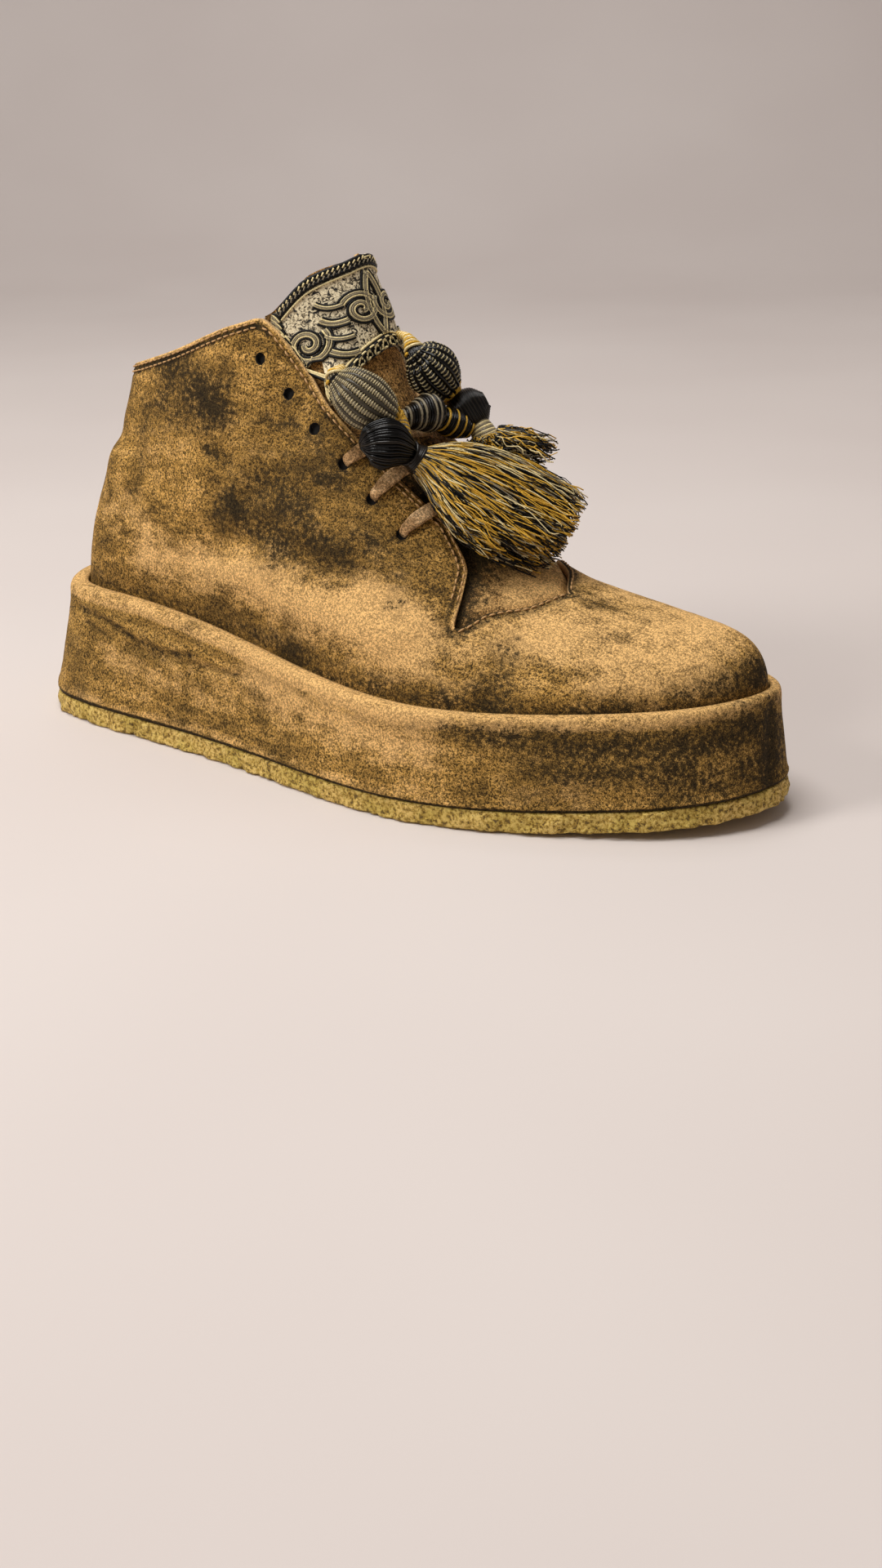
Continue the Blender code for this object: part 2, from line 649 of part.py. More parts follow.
def eyelet_places():
    """Station and v of each lacing hole, evenly spaced on a straight line and set onto the surface."""
    stations, heights = np.meshgrid(np.linspace(0.38, 0.75, 371), np.linspace(0.3, 1.0, 281), indexing="ij")
    points = last_surface(stations.ravel(), heights.ravel(), LATERAL)
    places = []
    for share in np.linspace(0, 1, EYELET_COUNT):
        target = np.array(EYELET_TOP) * (1 - share) + np.array(EYELET_LOW) * share
        nearest = np.argmin(np.linalg.norm(points - target, axis=1))
        places.append((stations.ravel()[nearest], heights.ravel()[nearest]))
    return places


def make_eyelet_cutter(name, place, normal):
    """Small drill standing on the surface; it cuts one lacing hole and is not a part."""
    length = 5 * WALL
    tool = bmesh.new()
    bmesh.ops.create_cone(tool, cap_ends=True, segments=10, radius1=EYELET_RADIUS * MM,
                          radius2=EYELET_RADIUS * MM, depth=length * MM)
    mesh = bpy.data.meshes.new(name)
    tool.to_mesh(mesh)
    tool.free()
    cutter = bpy.data.objects.new(name, mesh)
    bpy.context.scene.collection.objects.link(cutter)
    z_axis = np.array([0.0, 0.0, 1.0])
    axis = np.cross(z_axis, normal)
    angle = math.atan2(np.linalg.norm(axis), float(z_axis @ normal))
    cutter.rotation_mode = "AXIS_ANGLE"
    cutter.rotation_axis_angle = (angle, *(axis / np.linalg.norm(axis)))
    cutter.location = ((place - CENTRE) * MM).tolist()
    cutter.hide_render = True
    cutter.display_type = "WIRE"
    return cutter


def make_upper():
    """Hollow one-piece upper: an even wall over the last, open at the throat, the collar and below."""
    stations = spread_stations(UPPER_COLUMNS)
    last = len(stations) - 1
    sheet = Sheet()
    for side in (LATERAL, MEDIAL):
        top = edge_height(stations, side)
        sheet.side(side, stations, np.zeros(top.shape), top, UPPER_ROWS, SEAM[0][1], (0, last))
    outer, _, faces = sheet.arrays()
    normals = vertex_normals(outer, faces)
    inner = outer - WALL * normals
    foot_rows = [index for key, index in sheet.keys.items() if key[2] == 0]
    inner[foot_rows, 2] = outer[foot_rows, 2]
    points, solid = thicken(outer, inner, faces)
    upper = make_object("upper", points, solid, plain_material("suede", (0.25, 0.17, 0.07), 0.85))
    for number, (station, v) in enumerate(eyelet_places(), start=1):
        for side, label in ((LATERAL, "lateral"), (MEDIAL, "medial")):
            place = last_surface(station, v, side)[0]
            normal = last_normal(station, v, side)[0]
            cutter = make_eyelet_cutter(f"eyelet_cutter_{label}_{number}", place, normal)
            cut = upper.modifiers.new(cutter.name, "BOOLEAN")
            cut.operation = "DIFFERENCE"
            cut.solver = "EXACT"
            cut.object = cutter
    return upper


def tongue_depth(station):
    """Depth of the tongue's face below the upper's outside: shallow at the seam, deeper under the ribbon."""
    return np.interp(station, TONGUE_DEPTH_STATIONS, (TONGUE_DEPTH_FRONT, TONGUE_DEPTH_TOP))


def make_tongue():
    """Tongue under the throat: follows the last below the facings and stands above the collar."""
    stations = spread_stations(TONGUE_COLUMNS, TONGUE_REACH[0][1])
    reach = monotone(stations, column(TONGUE_REACH, 1), column(TONGUE_REACH, 2))
    sheet = Sheet()
    for side in (LATERAL, MEDIAL):
        bottom = height_at_gap(stations, reach, side)
        sheet.side(side, stations, bottom, np.ones(bottom.shape), TONGUE_ROWS, TONGUE_TOP_STATION, ())
    points, normals, faces = sheet.arrays()
    depth = np.zeros(len(points))
    for key, index in sheet.keys.items():
        depth[index] = tongue_depth(stations[key[1]])
    outer = points - normals * depth[:, None]
    inner = outer - normals * TONGUE_THICK
    solid_points, solid = thicken(outer, inner, faces)
    return make_object("tongue", solid_points, solid, plain_material("tongue_suede", (0.30, 0.20, 0.09), 0.85))


def make_ribbon():
    """Woven ribbon lying on the tongue between the facings, a little below the tongue's top edge."""
    stations = spread_stations(RIBBON_COLUMNS, RIBBON_REACH[0][1])
    reach = monotone(stations, column(RIBBON_REACH, 1), column(RIBBON_REACH, 2))
    below_top = np.where(stations > RIBBON_TOP_STATION + STATION_NEAR, RIBBON_BELOW_TOP, 0.0)
    sheet = Sheet()
    for side in (LATERAL, MEDIAL):
        tucked = edge_height(stations, side) - RIBBON_TUCK
        bottom = np.maximum(height_at_gap(stations, reach, side), tucked)
        top = height_at_gap(stations, below_top, side)
        bottom = np.minimum(bottom, top - RIBBON_TUCK)
        sheet.side(side, stations, bottom, top, RIBBON_ROWS, RIBBON_TOP_STATION, ())
    points, normals, faces = sheet.arrays()
    outer = points - normals * RIBBON_DEPTH
    inner = outer - normals * RIBBON_THICK
    solid_points, solid = thicken(outer, inner, faces)
    return make_object("ribbon", solid_points, solid, plain_material("ribbon_weave", (0.45, 0.42, 0.34), 0.6))


def sweep(path, out, sizes, ring, locks):
    """Closed strand along a path; out points off the shoe, locks push every other side point out."""
    tangent = np.gradient(path, axis=0)
    across = np.cross(tangent, out)
    across /= np.linalg.norm(across, axis=1)[:, None]
    off = np.cross(across, tangent)
    off /= np.linalg.norm(off, axis=1)[:, None]
    ring = np.array(ring)
    count = len(ring)
    alternate = np.where(np.arange(count) % 2 == 0, 1.0, -1.0)
    points = []
    for k, centre in enumerate(path):
        scale = 1 + locks[k] * alternate
        wide = (ring[:, 0] * scale * sizes[k][0])[:, None] * across[k]
        thick = (ring[:, 1] * scale * sizes[k][1])[:, None] * off[k]
        points.extend(centre + wide + thick)
    last = len(points) - count
    faces = [tuple(reversed(range(count))), tuple(range(last, last + count))]
    for base in range(0, last, count):
        for i in range(count):
            j = (i + 1) % count
            faces.append((base + i, base + j, base + count + j, base + count + i))
    return np.array(points), faces


def fuse(item, others):
    """Joins other closed shapes into an item; they stay as hidden tools."""
    for other in others:
        join = item.modifiers.new(other.name, "BOOLEAN")
        join.operation = "UNION"
        join.solver = "EXACT"
        join.object = other
        other.hide_render = True
        other.display_type = "WIRE"
    return item


def lace_point(station, drop, share):
    """Middle of the lace and the way off the shoe; drop is the signed v below the rib's top."""
    side = LATERAL if drop < 0 else MEDIAL
    v = min(1 - abs(drop), 1 - STATION_NEAR)
    normal = last_normal(station, v, side)[0]
    within = min(abs(share) / LACE_EDGE_SHARE, 1.0)
    ride = LACE_RIDE - LACE_DIP * (0.5 + 0.5 * math.cos(math.pi * within))
    return last_surface(station, v, side)[0] + ride * normal, normal


def lace_strip(name, line, material):
    path, out = zip(*[lace_point(station, drop, share) for station, drop, share in line])
    sizes = [(LACE_HALF_WIDTH, LACE_HALF_THICK)] * len(path)
    points, faces = sweep(np.array(path), np.array(out), sizes, LACE_RING, np.zeros(len(path)))
    return make_object(name, points, faces, material)


def make_laces():
    """Flat lace: bars across the throat between facing holes, joined by risers over the tongue."""
    material = plain_material("lace_suede", (0.36, 0.26, 0.17), 0.85)
    places = eyelet_places()
    shares = np.linspace(-1, 1, LACE_STEPS + 1)
    bars = []
    strips = []
    for name, holes, shift in LACE_BARS:
        station, v = places[holes - 1]
        bars.append((station, shift, 1 - v))
        line = [(station + shift * (1 - share**2), share * (1 - v), share) for share in shares]
        strips.append(lace_strip(f"lace_bar_{name}", line, material))
    for name, upper_bar, upper_share, lower_bar, lower_share in LACE_RISERS:
        ends = []
        for bar, share in ((upper_bar, upper_share), (lower_bar, lower_share)):
            station, shift, drop = bars[bar]
            ends.append(np.array([station + shift * (1 - share**2), share * drop, share]))
        line = [ends[0] * (1 - t) + ends[1] * t for t in np.linspace(0, 1, LACE_STEPS // 3 + 1)]
        strips.append(lace_strip(f"lace_riser_{name}", line, material))
    laces = fuse(strips[0], strips[1:])
    laces.name = "laces"
    return laces


def make_strand(name, rows, material):
    """Swept strand through its sections with finer steps between them."""
    table = np.array([row[1:] for row in rows], float)
    places = np.arange(len(rows), dtype=float)
    fine = np.linspace(0, len(rows) - 1, (len(rows) - 1) * TASSEL_STEPS + 1)
    values = np.column_stack([monotone(fine, places, table[:, k]) for k in range(table.shape[1])])
    turns = np.linspace(0, 2 * np.pi, TASSEL_SIDES, endpoint=False)
    ring = np.column_stack([np.cos(turns), np.sin(turns)])
    points, faces = sweep(values[:, :3], np.array(TASSEL_OUT), values[:, 3:5], ring, values[:, 5])
    return make_object(name, points, faces, material)


def make_tassels():
    """Two thread tassels hanging from the ribbon: beads, heads and skirts fused strand by strand."""
    strands = {
        "tassel_lateral": (LATERAL_SKIRT, LATERAL_BEAD, LATERAL_COIL),
        "tassel_medial": (MEDIAL_STRAND, MEDIAL_BARREL),
    }
    for name, tables in strands.items():
        material = plain_material(f"{name}_thread", (0.07, 0.06, 0.05), 0.5)
        pieces = [make_strand(f"{name}_{k}", rows, material) for k, rows in enumerate(tables)]
        fuse(pieces[0], pieces[1:]).name = name


def main():
    clear_scene()
    make_outsole()
    make_platform()
    make_insole()
    make_upper()
    make_tongue()
    make_ribbon()
    make_laces()
    make_tassels()


main()
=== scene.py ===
"""Looks of the ankle shoe: dense suede surfaces, stitches, woven ribbon, lace and thread tassels.

Tables and sizes are in millimetres in the part's own frame: +X to the toe, +Y to the inner side, +Z up.
Points become metres when a mesh is made.
"""
import math

import bpy
import numpy as np
from mathutils import Matrix, Vector
from mathutils.bvhtree import BVHTree


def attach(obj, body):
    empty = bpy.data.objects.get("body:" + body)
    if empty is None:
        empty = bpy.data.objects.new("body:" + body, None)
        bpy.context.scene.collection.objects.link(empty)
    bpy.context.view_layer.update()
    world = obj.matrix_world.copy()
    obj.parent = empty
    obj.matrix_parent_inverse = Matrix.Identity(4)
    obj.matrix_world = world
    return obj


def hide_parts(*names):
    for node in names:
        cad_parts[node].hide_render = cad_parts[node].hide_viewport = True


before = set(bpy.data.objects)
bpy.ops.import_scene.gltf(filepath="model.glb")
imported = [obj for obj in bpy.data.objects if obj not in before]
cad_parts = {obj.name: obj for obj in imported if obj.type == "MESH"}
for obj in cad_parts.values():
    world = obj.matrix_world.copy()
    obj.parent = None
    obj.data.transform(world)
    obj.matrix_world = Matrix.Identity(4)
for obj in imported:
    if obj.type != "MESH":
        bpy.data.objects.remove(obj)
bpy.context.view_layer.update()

MM = 0.001
LATERAL, MEDIAL = -1, 1
SIDES = (LATERAL, MEDIAL)
TINY = 1e-12
# Kinds of face of a thickened sheet; faces in a lacing hole take the painted hole shadow
OUTSIDE, LINED, CUT, IN_HOLE = range(4)

# Driving dimensions of the part, repeated here
SOLE_LENGTH = 300.0
CREPE_THICK = 7.0
TOE_SPRING = 5.0
SPRING_STARTS_X = 50.0
LIP_HEIGHT_HEEL = 49.3
LIP_HEIGHT_BALL = 36.6
WEDGE_FROM_X = -100.0
WEDGE_TO_X = 50.0
SEAT_DEPTH = 6.0
LIP_CROWN = 1.2
LIP_ROUND = 5.5
WALL = 2.2
GAP = 0.3
INSOLE_THICK = 3.0
TONGUE_THICK = 1.8
TONGUE_DEPTH_FRONT = 3.2
TONGUE_DEPTH_TOP = 4.6
TONGUE_DEPTH_STATIONS = (0.28, 0.49)
TONGUE_TOP_STATION = 0.615
EYELET_RADIUS = 2.1
EYELET_COUNT = 6
RIBBON_DEPTH = 2.7
RIBBON_THICK = 0.9
RIBBON_BELOW_TOP = 2.0
LACE_HALF_WIDTH = 2.5
LACE_HALF_THICK = 0.8
LACE_RIDE = 1.3
LACE_DIP = 3.6

# Sole outlines, toe tip first, then along the lateral side, the heel and back along the medial side
# point, ground x, ground y, lip x, lip y, feather x, feather y
OUTLINES = (
    ("toe tip", 150, 9, 146, 9, 141, 9),
    ("toe lateral front", 139, -19, 135.5, -16.5, 130.5, -13.5),
    ("toe lateral", 108, -40.5, 105.5, -37.5, 102, -32),
    ("ball lateral", 45, -59.9, 44.5, -56.5, 44, -50),
    ("waist lateral", -35, -48.3, -34.5, -45, -34, -38.5),
    ("heel lateral", -116, -38, -110, -33.5, -105, -27.5),
    ("heel lateral back", -138, -27.4, -129, -24.5, -123, -19.5),
    ("heel back", -150, 0, -139.5, 0.5, -132, 1),
    ("heel medial back", -138, 28, -129, 25.5, -123, 21),
    ("heel medial", -116, 38, -110, 34, -105, 28.5),
    ("waist medial", -25, 38, -24.5, 35, -24, 29),
    ("ball medial", 55, 52, 54, 49, 52, 43),
    ("toe medial", 106, 45, 104, 42.5, 101, 36.5),
    ("toe medial front", 138, 30, 134.5, 28, 130, 23.5),
)
HEEL_BACK_ROW = 7

# Last sections: each rib climbs from the feather line to the centre line or the collar ring
RIB_COLUMNS = ("station", "top_x", "lateral_y", "medial_y", "top_z", "turn", "rise", "cross", "lean",
               "low_handle", "top_handle")
RIBS = (
    ("toe", 0.000, 125.0, 8.0, 8.0, 61.0, 90, 4, 0, 10, 0.46, 0.44),
    ("toe side", 0.080, 117.0, 6.5, 6.5, 62.0, 48, 3, 4, 10, 0.44, 0.44),
    ("toe flank", 0.184, 98.0, 1.0, 1.0, 64.0, 10, 0, 10, 9, 0.40, 0.42),
    ("vamp point", 0.280, 75.0, -4.0, -4.0, 68.8, 0, 0, 14, 8, 0.38, 0.40),
    ("throat", 0.336, 58.0, -2.0, -2.0, 77.0, 0, 0, 10, 8, 0.38, 0.38),
    ("throat corner", 0.382, 45.0, 1.0, 1.0, 86.5, 0, 0, 6, 7, 0.38, 0.36),
    ("lace low", 0.463, 20.0, 4.0, 4.0, 113.0, 0, 0, 0, 6, 0.36, 0.30),
    ("lace mid", 0.550, 6.0, 5.0, 5.0, 140.0, 0, 0, 0, 5, 0.36, 0.26),
    ("tongue top", 0.615, -6.5, 5.0, 5.0, 173.5, 11, 28, 0, 4, 0.36, 0.20),
    ("tongue side", 0.657, -16.5, -15.5, 21.5, 167.5, 0, 64, 0, 4, 0.34, 0.15),
    ("collar corner", 0.693, -29.0, -24.0, 28.8, 154.5, 0, 82, 0, 4, 0.36, 0.30),
    ("collar", 0.744, -46.5, -26.0, 32.3, 148.5, 0, 85, 0, 4, 0.36, 0.32),
    ("ankle", 0.822, -72.5, -22.0, 29.0, 139.0, 0, 84, 0, 3, 0.36, 0.34),
    ("heel side", 0.913, -97.0, -14.0, 21.0, 132.0, -45, 80, 0, 2, 0.36, 0.34),
    ("heel back", 1.000, -107.5, 3.5, 3.5, 129.5, -90, 75, 0, 1, 0.36, 0.34),
)
# Seam at the foot of the throat: point, station, lateral gap, medial gap
SEAM = (
    ("vamp point", 0.272, 0.0, 0.0),
    ("seam", 0.300, 16.0, 14.0),
    ("seam low", 0.328, 28.5, 24.0),
    ("corner", 0.354, 42.0, 36.0),
    ("facing foot", 0.361, 31.0, 27.0),
    ("facing curve", 0.371, 23.0, 21.0),
    ("facing low", 0.409, 18.5, 18.5),
)
SEAM_CORNER_STATION = 0.354
FACING_LOW_X, FACING_LOW_Z = 36.5, 89.2
FACING_TOP_X, FACING_TOP_Z = -29.0, 154.5
FACING_BOW = 2.5
COLLAR_CORNER_STATION = 0.693
EYELET_TOP = (-30.0, -27.5, 140.0)
EYELET_LOW = (27.0, -28.0, 86.5)

# Reach of the tongue below the centre line: point, station, reach
TONGUE_REACH = (
    ("front edge", 0.236, 10.0),
    ("under vamp", 0.262, 23.0),
    ("under seam", 0.300, 35.0),
    ("under corner", 0.350, 47.0),
    ("under facing", 0.410, 36.0),
    ("mid", 0.490, 39.0),
    ("high", 0.587, 53.0),
    ("shoulder", 0.640, 47.0),
    ("top corner", 0.700, 14.0),
)
# Reach of the ribbon below the centre line: point, station, reach
RIBBON_REACH = (
    ("lower edge", 0.557, 5.0),
    ("lower side", 0.561, 16.0),
    ("lower corner", 0.568, 29.0),
    ("facing", 0.578, 42.0),
    ("shoulder", 0.640, 42.0),
    ("top corner", 0.688, 14.0),
)
RIBBON_TOP_STATION = 0.611
RIBBON_TUCK = 0.03

# Columns of each dense grid: station reached, columns
UPPER_COLUMNS = ((0.080, 26), (0.272, 56), (0.346, 26), (0.354, 8), (0.372, 18), (0.409, 14), (0.693, 84),
                 (0.913, 44), (1.000, 22))
TONGUE_COLUMNS = ((0.300, 16), (0.409, 26), (0.557, 30), (0.611, 16), (TONGUE_TOP_STATION, 3), (0.688, 26),
                  (0.700, 4))
RIBBON_COLUMNS = ((0.593, 26), (0.611, 12), (TONGUE_TOP_STATION, 3), (0.688, 36))
FINE_STEPS = 2000
RIB_STEPS = 241
STATION_NEAR = 1e-6
STATION_MARGIN = 0.01
# Rows of the upper's grid: share of the height from, to, and rows
UPPER_SHARES = ((0.0, 0.90, 50), (0.90, 1.0, 13))
TONGUE_ROWS = 60
RIBBON_ROWS = 32
INSOLE_STEPS = 85
CAP_COLUMNS = 6
# Share by which a round of relaxing moves a point to its neighbours' middle, and rounds for a smooth sheet
RELAX_SHARE = 0.6
SMOOTH_ROUNDS = 60


def columns_of(rows, *places):
    """Columns of a table."""
    return np.array([[row[place] for row in rows] for place in places], float)


def unit(vectors):
    """Vectors along the last axis brought to length one."""
    return vectors / np.maximum(np.linalg.norm(vectors, axis=-1), TINY)[..., None]


def ease(share):
    """Smooth step of a share from 0 to 1."""
    return share * share * (3 - 2 * share)


def bell(values, width):
    """Soft bump: 1 where the value is 0, fading over the width."""
    return np.exp(-(values / width)**2)


def band(values, place, width, amount):
    """Soft bump of an amount at a place."""
    return amount * bell(values - place, width)


def lengths_along(line):
    """Length of a line up to each of its points."""
    return np.concatenate([[0.0], np.cumsum(np.linalg.norm(np.diff(line, axis=0), axis=1))])


def full_turn(count):
    """Even angles round a circle."""
    return np.linspace(0, 2 * np.pi, count, endpoint=False)


def hermite(t, start, end, leaving, arriving):
    """Cubic from start to end with these tangents."""
    return ((2 * t**3 - 3 * t**2 + 1) * start + (t**3 - 2 * t**2 + t) * leaving
            + (3 * t**2 - 2 * t**3) * end + (t**3 - t**2) * arriving)


def monotone(x, xs, ys, free_start=False, free_end=False):
    """Piecewise cubic through the rows that never overshoots them, level at its ends unless freed."""
    x = np.asarray(x, float)
    widths = np.diff(xs)
    slopes = np.diff(ys) / widths
    tangents = np.zeros(len(xs))
    tangents[0] = slopes[0] if free_start else 0.0
    tangents[-1] = slopes[-1] if free_end else 0.0
    for k in range(1, len(xs) - 1):
        if slopes[k - 1] * slopes[k] > 0:
            near = 2 * widths[k] + widths[k - 1]
            far = widths[k] + 2 * widths[k - 1]
            tangents[k] = (near + far) / (near / slopes[k - 1] + far / slopes[k])
    k = np.clip(np.searchsorted(xs, x, side="right") - 1, 0, len(xs) - 2)
    t = (x - xs[k]) / widths[k]
    return hermite(t, ys[k], ys[k + 1], widths[k] * tangents[k], widths[k] * tangents[k + 1])


def closed_spline(points, knots, t):
    """Periodic cubic spline through the points, read at the parameters t."""
    count = len(points)
    widths = np.diff(knots)
    system = np.zeros((count, count))
    right = np.zeros(points.shape)
    for i in range(count):
        before = widths[i - 1]
        after = widths[i]
        system[i, (i - 1) % count] += 1 / before
        system[i, i] += 2 / before + 2 / after
        system[i, (i + 1) % count] += 1 / after
        right[i] = 3 * ((points[i] - points[i - 1]) / before**2
                        + (points[(i + 1) % count] - points[i]) / after**2)
    tangents = np.linalg.solve(system, right)
    t = np.mod(t, knots[-1])
    k = np.clip(np.searchsorted(knots, t, side="right") - 1, 0, count - 1)
    j = (k + 1) % count
    width = widths[k][:, None]
    s = (t - knots[k])[:, None] / width
    return hermite(s, points[k], points[j], width * tangents[k], width * tangents[j])


GROUND, LIP, FEATHER = (columns_of(OUTLINES, place, place + 1).T for place in (1, 3, 5))
CHORDS = np.linalg.norm(np.roll(GROUND, -1, axis=0) - GROUND, axis=1)
KNOTS = np.concatenate([[0.0], np.cumsum(np.sqrt(CHORDS))])


def half_shares(side):
    """Outline parameters of one side, toe to heel back, with their share of the feather line's length."""
    start = 0.0 if side == LATERAL else KNOTS[-1]
    t = np.linspace(start, KNOTS[HEEL_BACK_ROW], FINE_STEPS)
    length = lengths_along(closed_spline(FEATHER, KNOTS, t))
    return t, length / length[-1]


SHARES = {LATERAL: half_shares(LATERAL), MEDIAL: half_shares(MEDIAL)}


def outline_at(points, station, side):
    t, share = SHARES[side]
    return closed_spline(points, KNOTS, np.interp(station, share, t))


def outline_normal(points, station, side):
    """Unit vectors pointing out of an outline, in plan."""
    step = 0.001
    ahead = outline_at(points, np.clip(station + step, 0, 1), side)
    behind = outline_at(points, np.clip(station - step, 0, 1), side)
    along = ahead - behind
    return unit(side * np.stack([along[:, 1], -along[:, 0]], axis=1))


def plan_centre():
    """Middle of the outsole's box in plan, which is the part's origin."""
    edge = closed_spline(GROUND, KNOTS, np.linspace(0, KNOTS[-1], FINE_STEPS))
    return np.append((edge.min(axis=0) + edge.max(axis=0)) / 2, 0.0)


CENTRE = plan_centre()


def toe_spring(x):
    share = np.clip((np.asarray(x) - SPRING_STARTS_X) / (SOLE_LENGTH / 2 - SPRING_STARTS_X), 0, 1)
    return TOE_SPRING * share**2


def lip_height(x):
    """Height where the upper leaves the platform: a wedge from heel to ball plus the toe spring."""
    t = np.clip((np.asarray(x) - WEDGE_FROM_X) / (WEDGE_TO_X - WEDGE_FROM_X), 0, 1)
    return LIP_HEIGHT_HEEL + (LIP_HEIGHT_BALL - LIP_HEIGHT_HEEL) * ease(t) + toe_spring(x)


def seat_height(x):
    return lip_height(x) - SEAT_DEPTH


def rib_value(name, station):
    """One column of the ribs; their tops turn a corner where the centre line meets the tongue's top edge."""
    stations, values = columns_of(RIBS, 1, RIB_COLUMNS.index(name) + 1)
    sideways = name.endswith("_y")
    if not (sideways or name.startswith("top_") and name != "top_handle"):
        return monotone(station, stations, values)
    front = stations <= TONGUE_TOP_STATION
    rear = stations >= TONGUE_TOP_STATION
    climb = monotone(np.minimum(station, TONGUE_TOP_STATION), stations[front], values[front], free_end=True)
    edge = monotone(np.maximum(station, TONGUE_TOP_STATION), stations[rear], values[rear], sideways, sideways)
    return np.where(station <= TONGUE_TOP_STATION, climb, edge)


def last_surface(station, v, side):
    """Points on the outside of the upper; v runs from 0 at the feather line to 1 at the rib's top."""
    station = np.atleast_1d(np.asarray(station, float))
    plan = outline_at(FEATHER, station, side)
    foot = np.column_stack([plan, seat_height(plan[:, 0]) + GAP])
    top_y = rib_value("lateral_y" if side == LATERAL else "medial_y", station)
    top = np.column_stack([rib_value("top_x", station), top_y, rib_value("top_z", station)])
    lean = np.radians(rib_value("lean", station))
    outward = outline_normal(FEATHER, station, side)
    start = np.column_stack([outward * np.sin(lean)[:, None], np.cos(lean)])
    turn = np.radians(rib_value("turn", station))
    rise = np.radians(rib_value("rise", station) - side * rib_value("cross", station))
    end = np.column_stack([-np.sin(turn) * np.cos(rise), -side * np.cos(turn) * np.cos(rise), np.sin(rise)])
    chord = np.linalg.norm(top - foot, axis=1)
    low = foot + start * (chord * rib_value("low_handle", station))[:, None]
    high = top - end * (chord * rib_value("top_handle", station))[:, None]
    v = np.broadcast_to(np.asarray(v, float), station.shape)[:, None]
    return (1 - v)**3 * foot + 3 * v * (1 - v)**2 * low + 3 * v**2 * (1 - v) * high + v**3 * top


def last_normal(station, v, side):
    """Unit normals of that surface, pointing out of the shoe."""
    step = 0.0005
    station = np.atleast_1d(np.asarray(station, float))
    v = np.broadcast_to(np.asarray(v, float), station.shape)
    along = (last_surface(np.clip(station + step, 0, 1), v, side)
             - last_surface(np.clip(station - step, 0, 1), v, side))
    up = (last_surface(station, np.clip(v + step, 0, 1), side)
          - last_surface(station, np.clip(v - step, 0, 1), side))
    return unit(-side * np.cross(up, along))


def height_at_gap(station, gap, side):
    """The v of the point that lies this far below each rib's top, measured along the rib."""
    steps = np.linspace(0, 1, RIB_STEPS)
    values = []
    for s, g in zip(station, gap):
        rib = last_surface(np.full(steps.shape, s), steps, side)
        values.append(1 - np.interp(g, lengths_along(rib[::-1]), steps))
    return np.array(values)


def height_at_facing(station, side):
    """The v where each rib crosses the facing edge, seen from the side."""
    line = np.array([FACING_TOP_X - FACING_LOW_X, FACING_TOP_Z - FACING_LOW_Z])
    length = np.linalg.norm(line)
    ahead = np.array([line[1], -line[0]]) / length
    steps = np.linspace(0, 1, RIB_STEPS)
    values = []
    for s in station:
        rib = last_surface(np.full(steps.shape, s), steps, side)[:, (0, 2)] - (FACING_LOW_X, FACING_LOW_Z)
        share = np.clip(rib @ line / length**2, 0, 1)
        past = rib @ ahead + FACING_BOW * np.sin(np.pi * share)
        crossing = int(np.argmax(past > 0)) if past[-1] > 0 else 0
        if crossing == 0:
            values.append(1.0)
            continue
        values.append(np.interp(0.0, past[crossing - 1:crossing + 1], steps[crossing - 1:crossing + 1]))
    return np.array(values)


def edge_height(station, side):
    """The v of the upper's top edge: centre line, seam, facing and collar in turn."""
    height = np.ones(station.shape)
    seam = (station >= SEAM[0][1]) & (station <= SEAM[-1][1])
    gap = monotone(station[seam], *columns_of(SEAM, 1, 2 if side == LATERAL else 3), free_end=True)
    height[seam] = height_at_gap(station[seam], gap, side)
    facing = (station > SEAM[-1][1]) & (station < COLLAR_CORNER_STATION)
    height[facing] = height_at_facing(station[facing], side)
    return height


def above_edge(places, stations):
    """Whether each point of a sheet over the last lies above the upper's edge."""
    shown = np.zeros(len(places), bool)
    for side in SIDES:
        edge = np.interp(places[:, 0], stations, edge_height(stations, side))
        shown |= (places[:, 2] == side) & (places[:, 1] > edge)
    return shown


def spread_stations(stops, start=0.0):
    """Stations along the shoe: so many columns up to each stop."""
    stations = [start]
    for reached, count in stops:
        stations.extend(np.linspace(stations[-1], reached, count + 1)[1:])
    return np.array(stations)


def eyelet_places():
    """Station and v of each lacing hole, evenly spaced on a straight line and set onto the surface."""
    stations, heights = np.meshgrid(np.linspace(0.38, 0.75, 371), np.linspace(0.3, 1.0, 281), indexing="ij")
    points = last_surface(stations.ravel(), heights.ravel(), LATERAL)
    places = []
    for share in np.linspace(0, 1, EYELET_COUNT):
        target = np.array(EYELET_TOP) * (1 - share) + np.array(EYELET_LOW) * share
        nearest = np.argmin(np.linalg.norm(points - target, axis=1))
        places.append((stations.ravel()[nearest], heights.ravel()[nearest]))
    return places


# Mesh tools


def noise(points, cell, seed=0):
    """Smooth value noise from -1 to 1, with cells of the given size in millimetres."""
    scaled = np.asarray(points, float) / cell
    base = np.floor(scaled).astype(np.int64)
    t = ease(scaled - base)
    total = np.zeros(len(scaled))
    for corner in range(8):
        offset = np.array([corner & 1, corner >> 1 & 1, corner >> 2 & 1])
        x, y, z = (base + offset).T
        mixed = (x * 73856093) ^ (y * 19349663) ^ (z * 83492791) ^ (seed * 2654435761)
        mixed = (mixed ^ (mixed >> 13)) * 1274126177 & 0xFFFFFFFF
        mixed = (mixed ^ (mixed >> 16)) & 0xFFFF
        weight = np.prod(np.where(offset, t, 1 - t), axis=1)
        total += weight * (mixed / 32767.5 - 1)
    return total


def unevenness(points, rows):
    """Waves of a hand-made surface; each row is a cell size, a height and a seed."""
    return sum(height * noise(points, cell, seed) for cell, height, seed in rows)


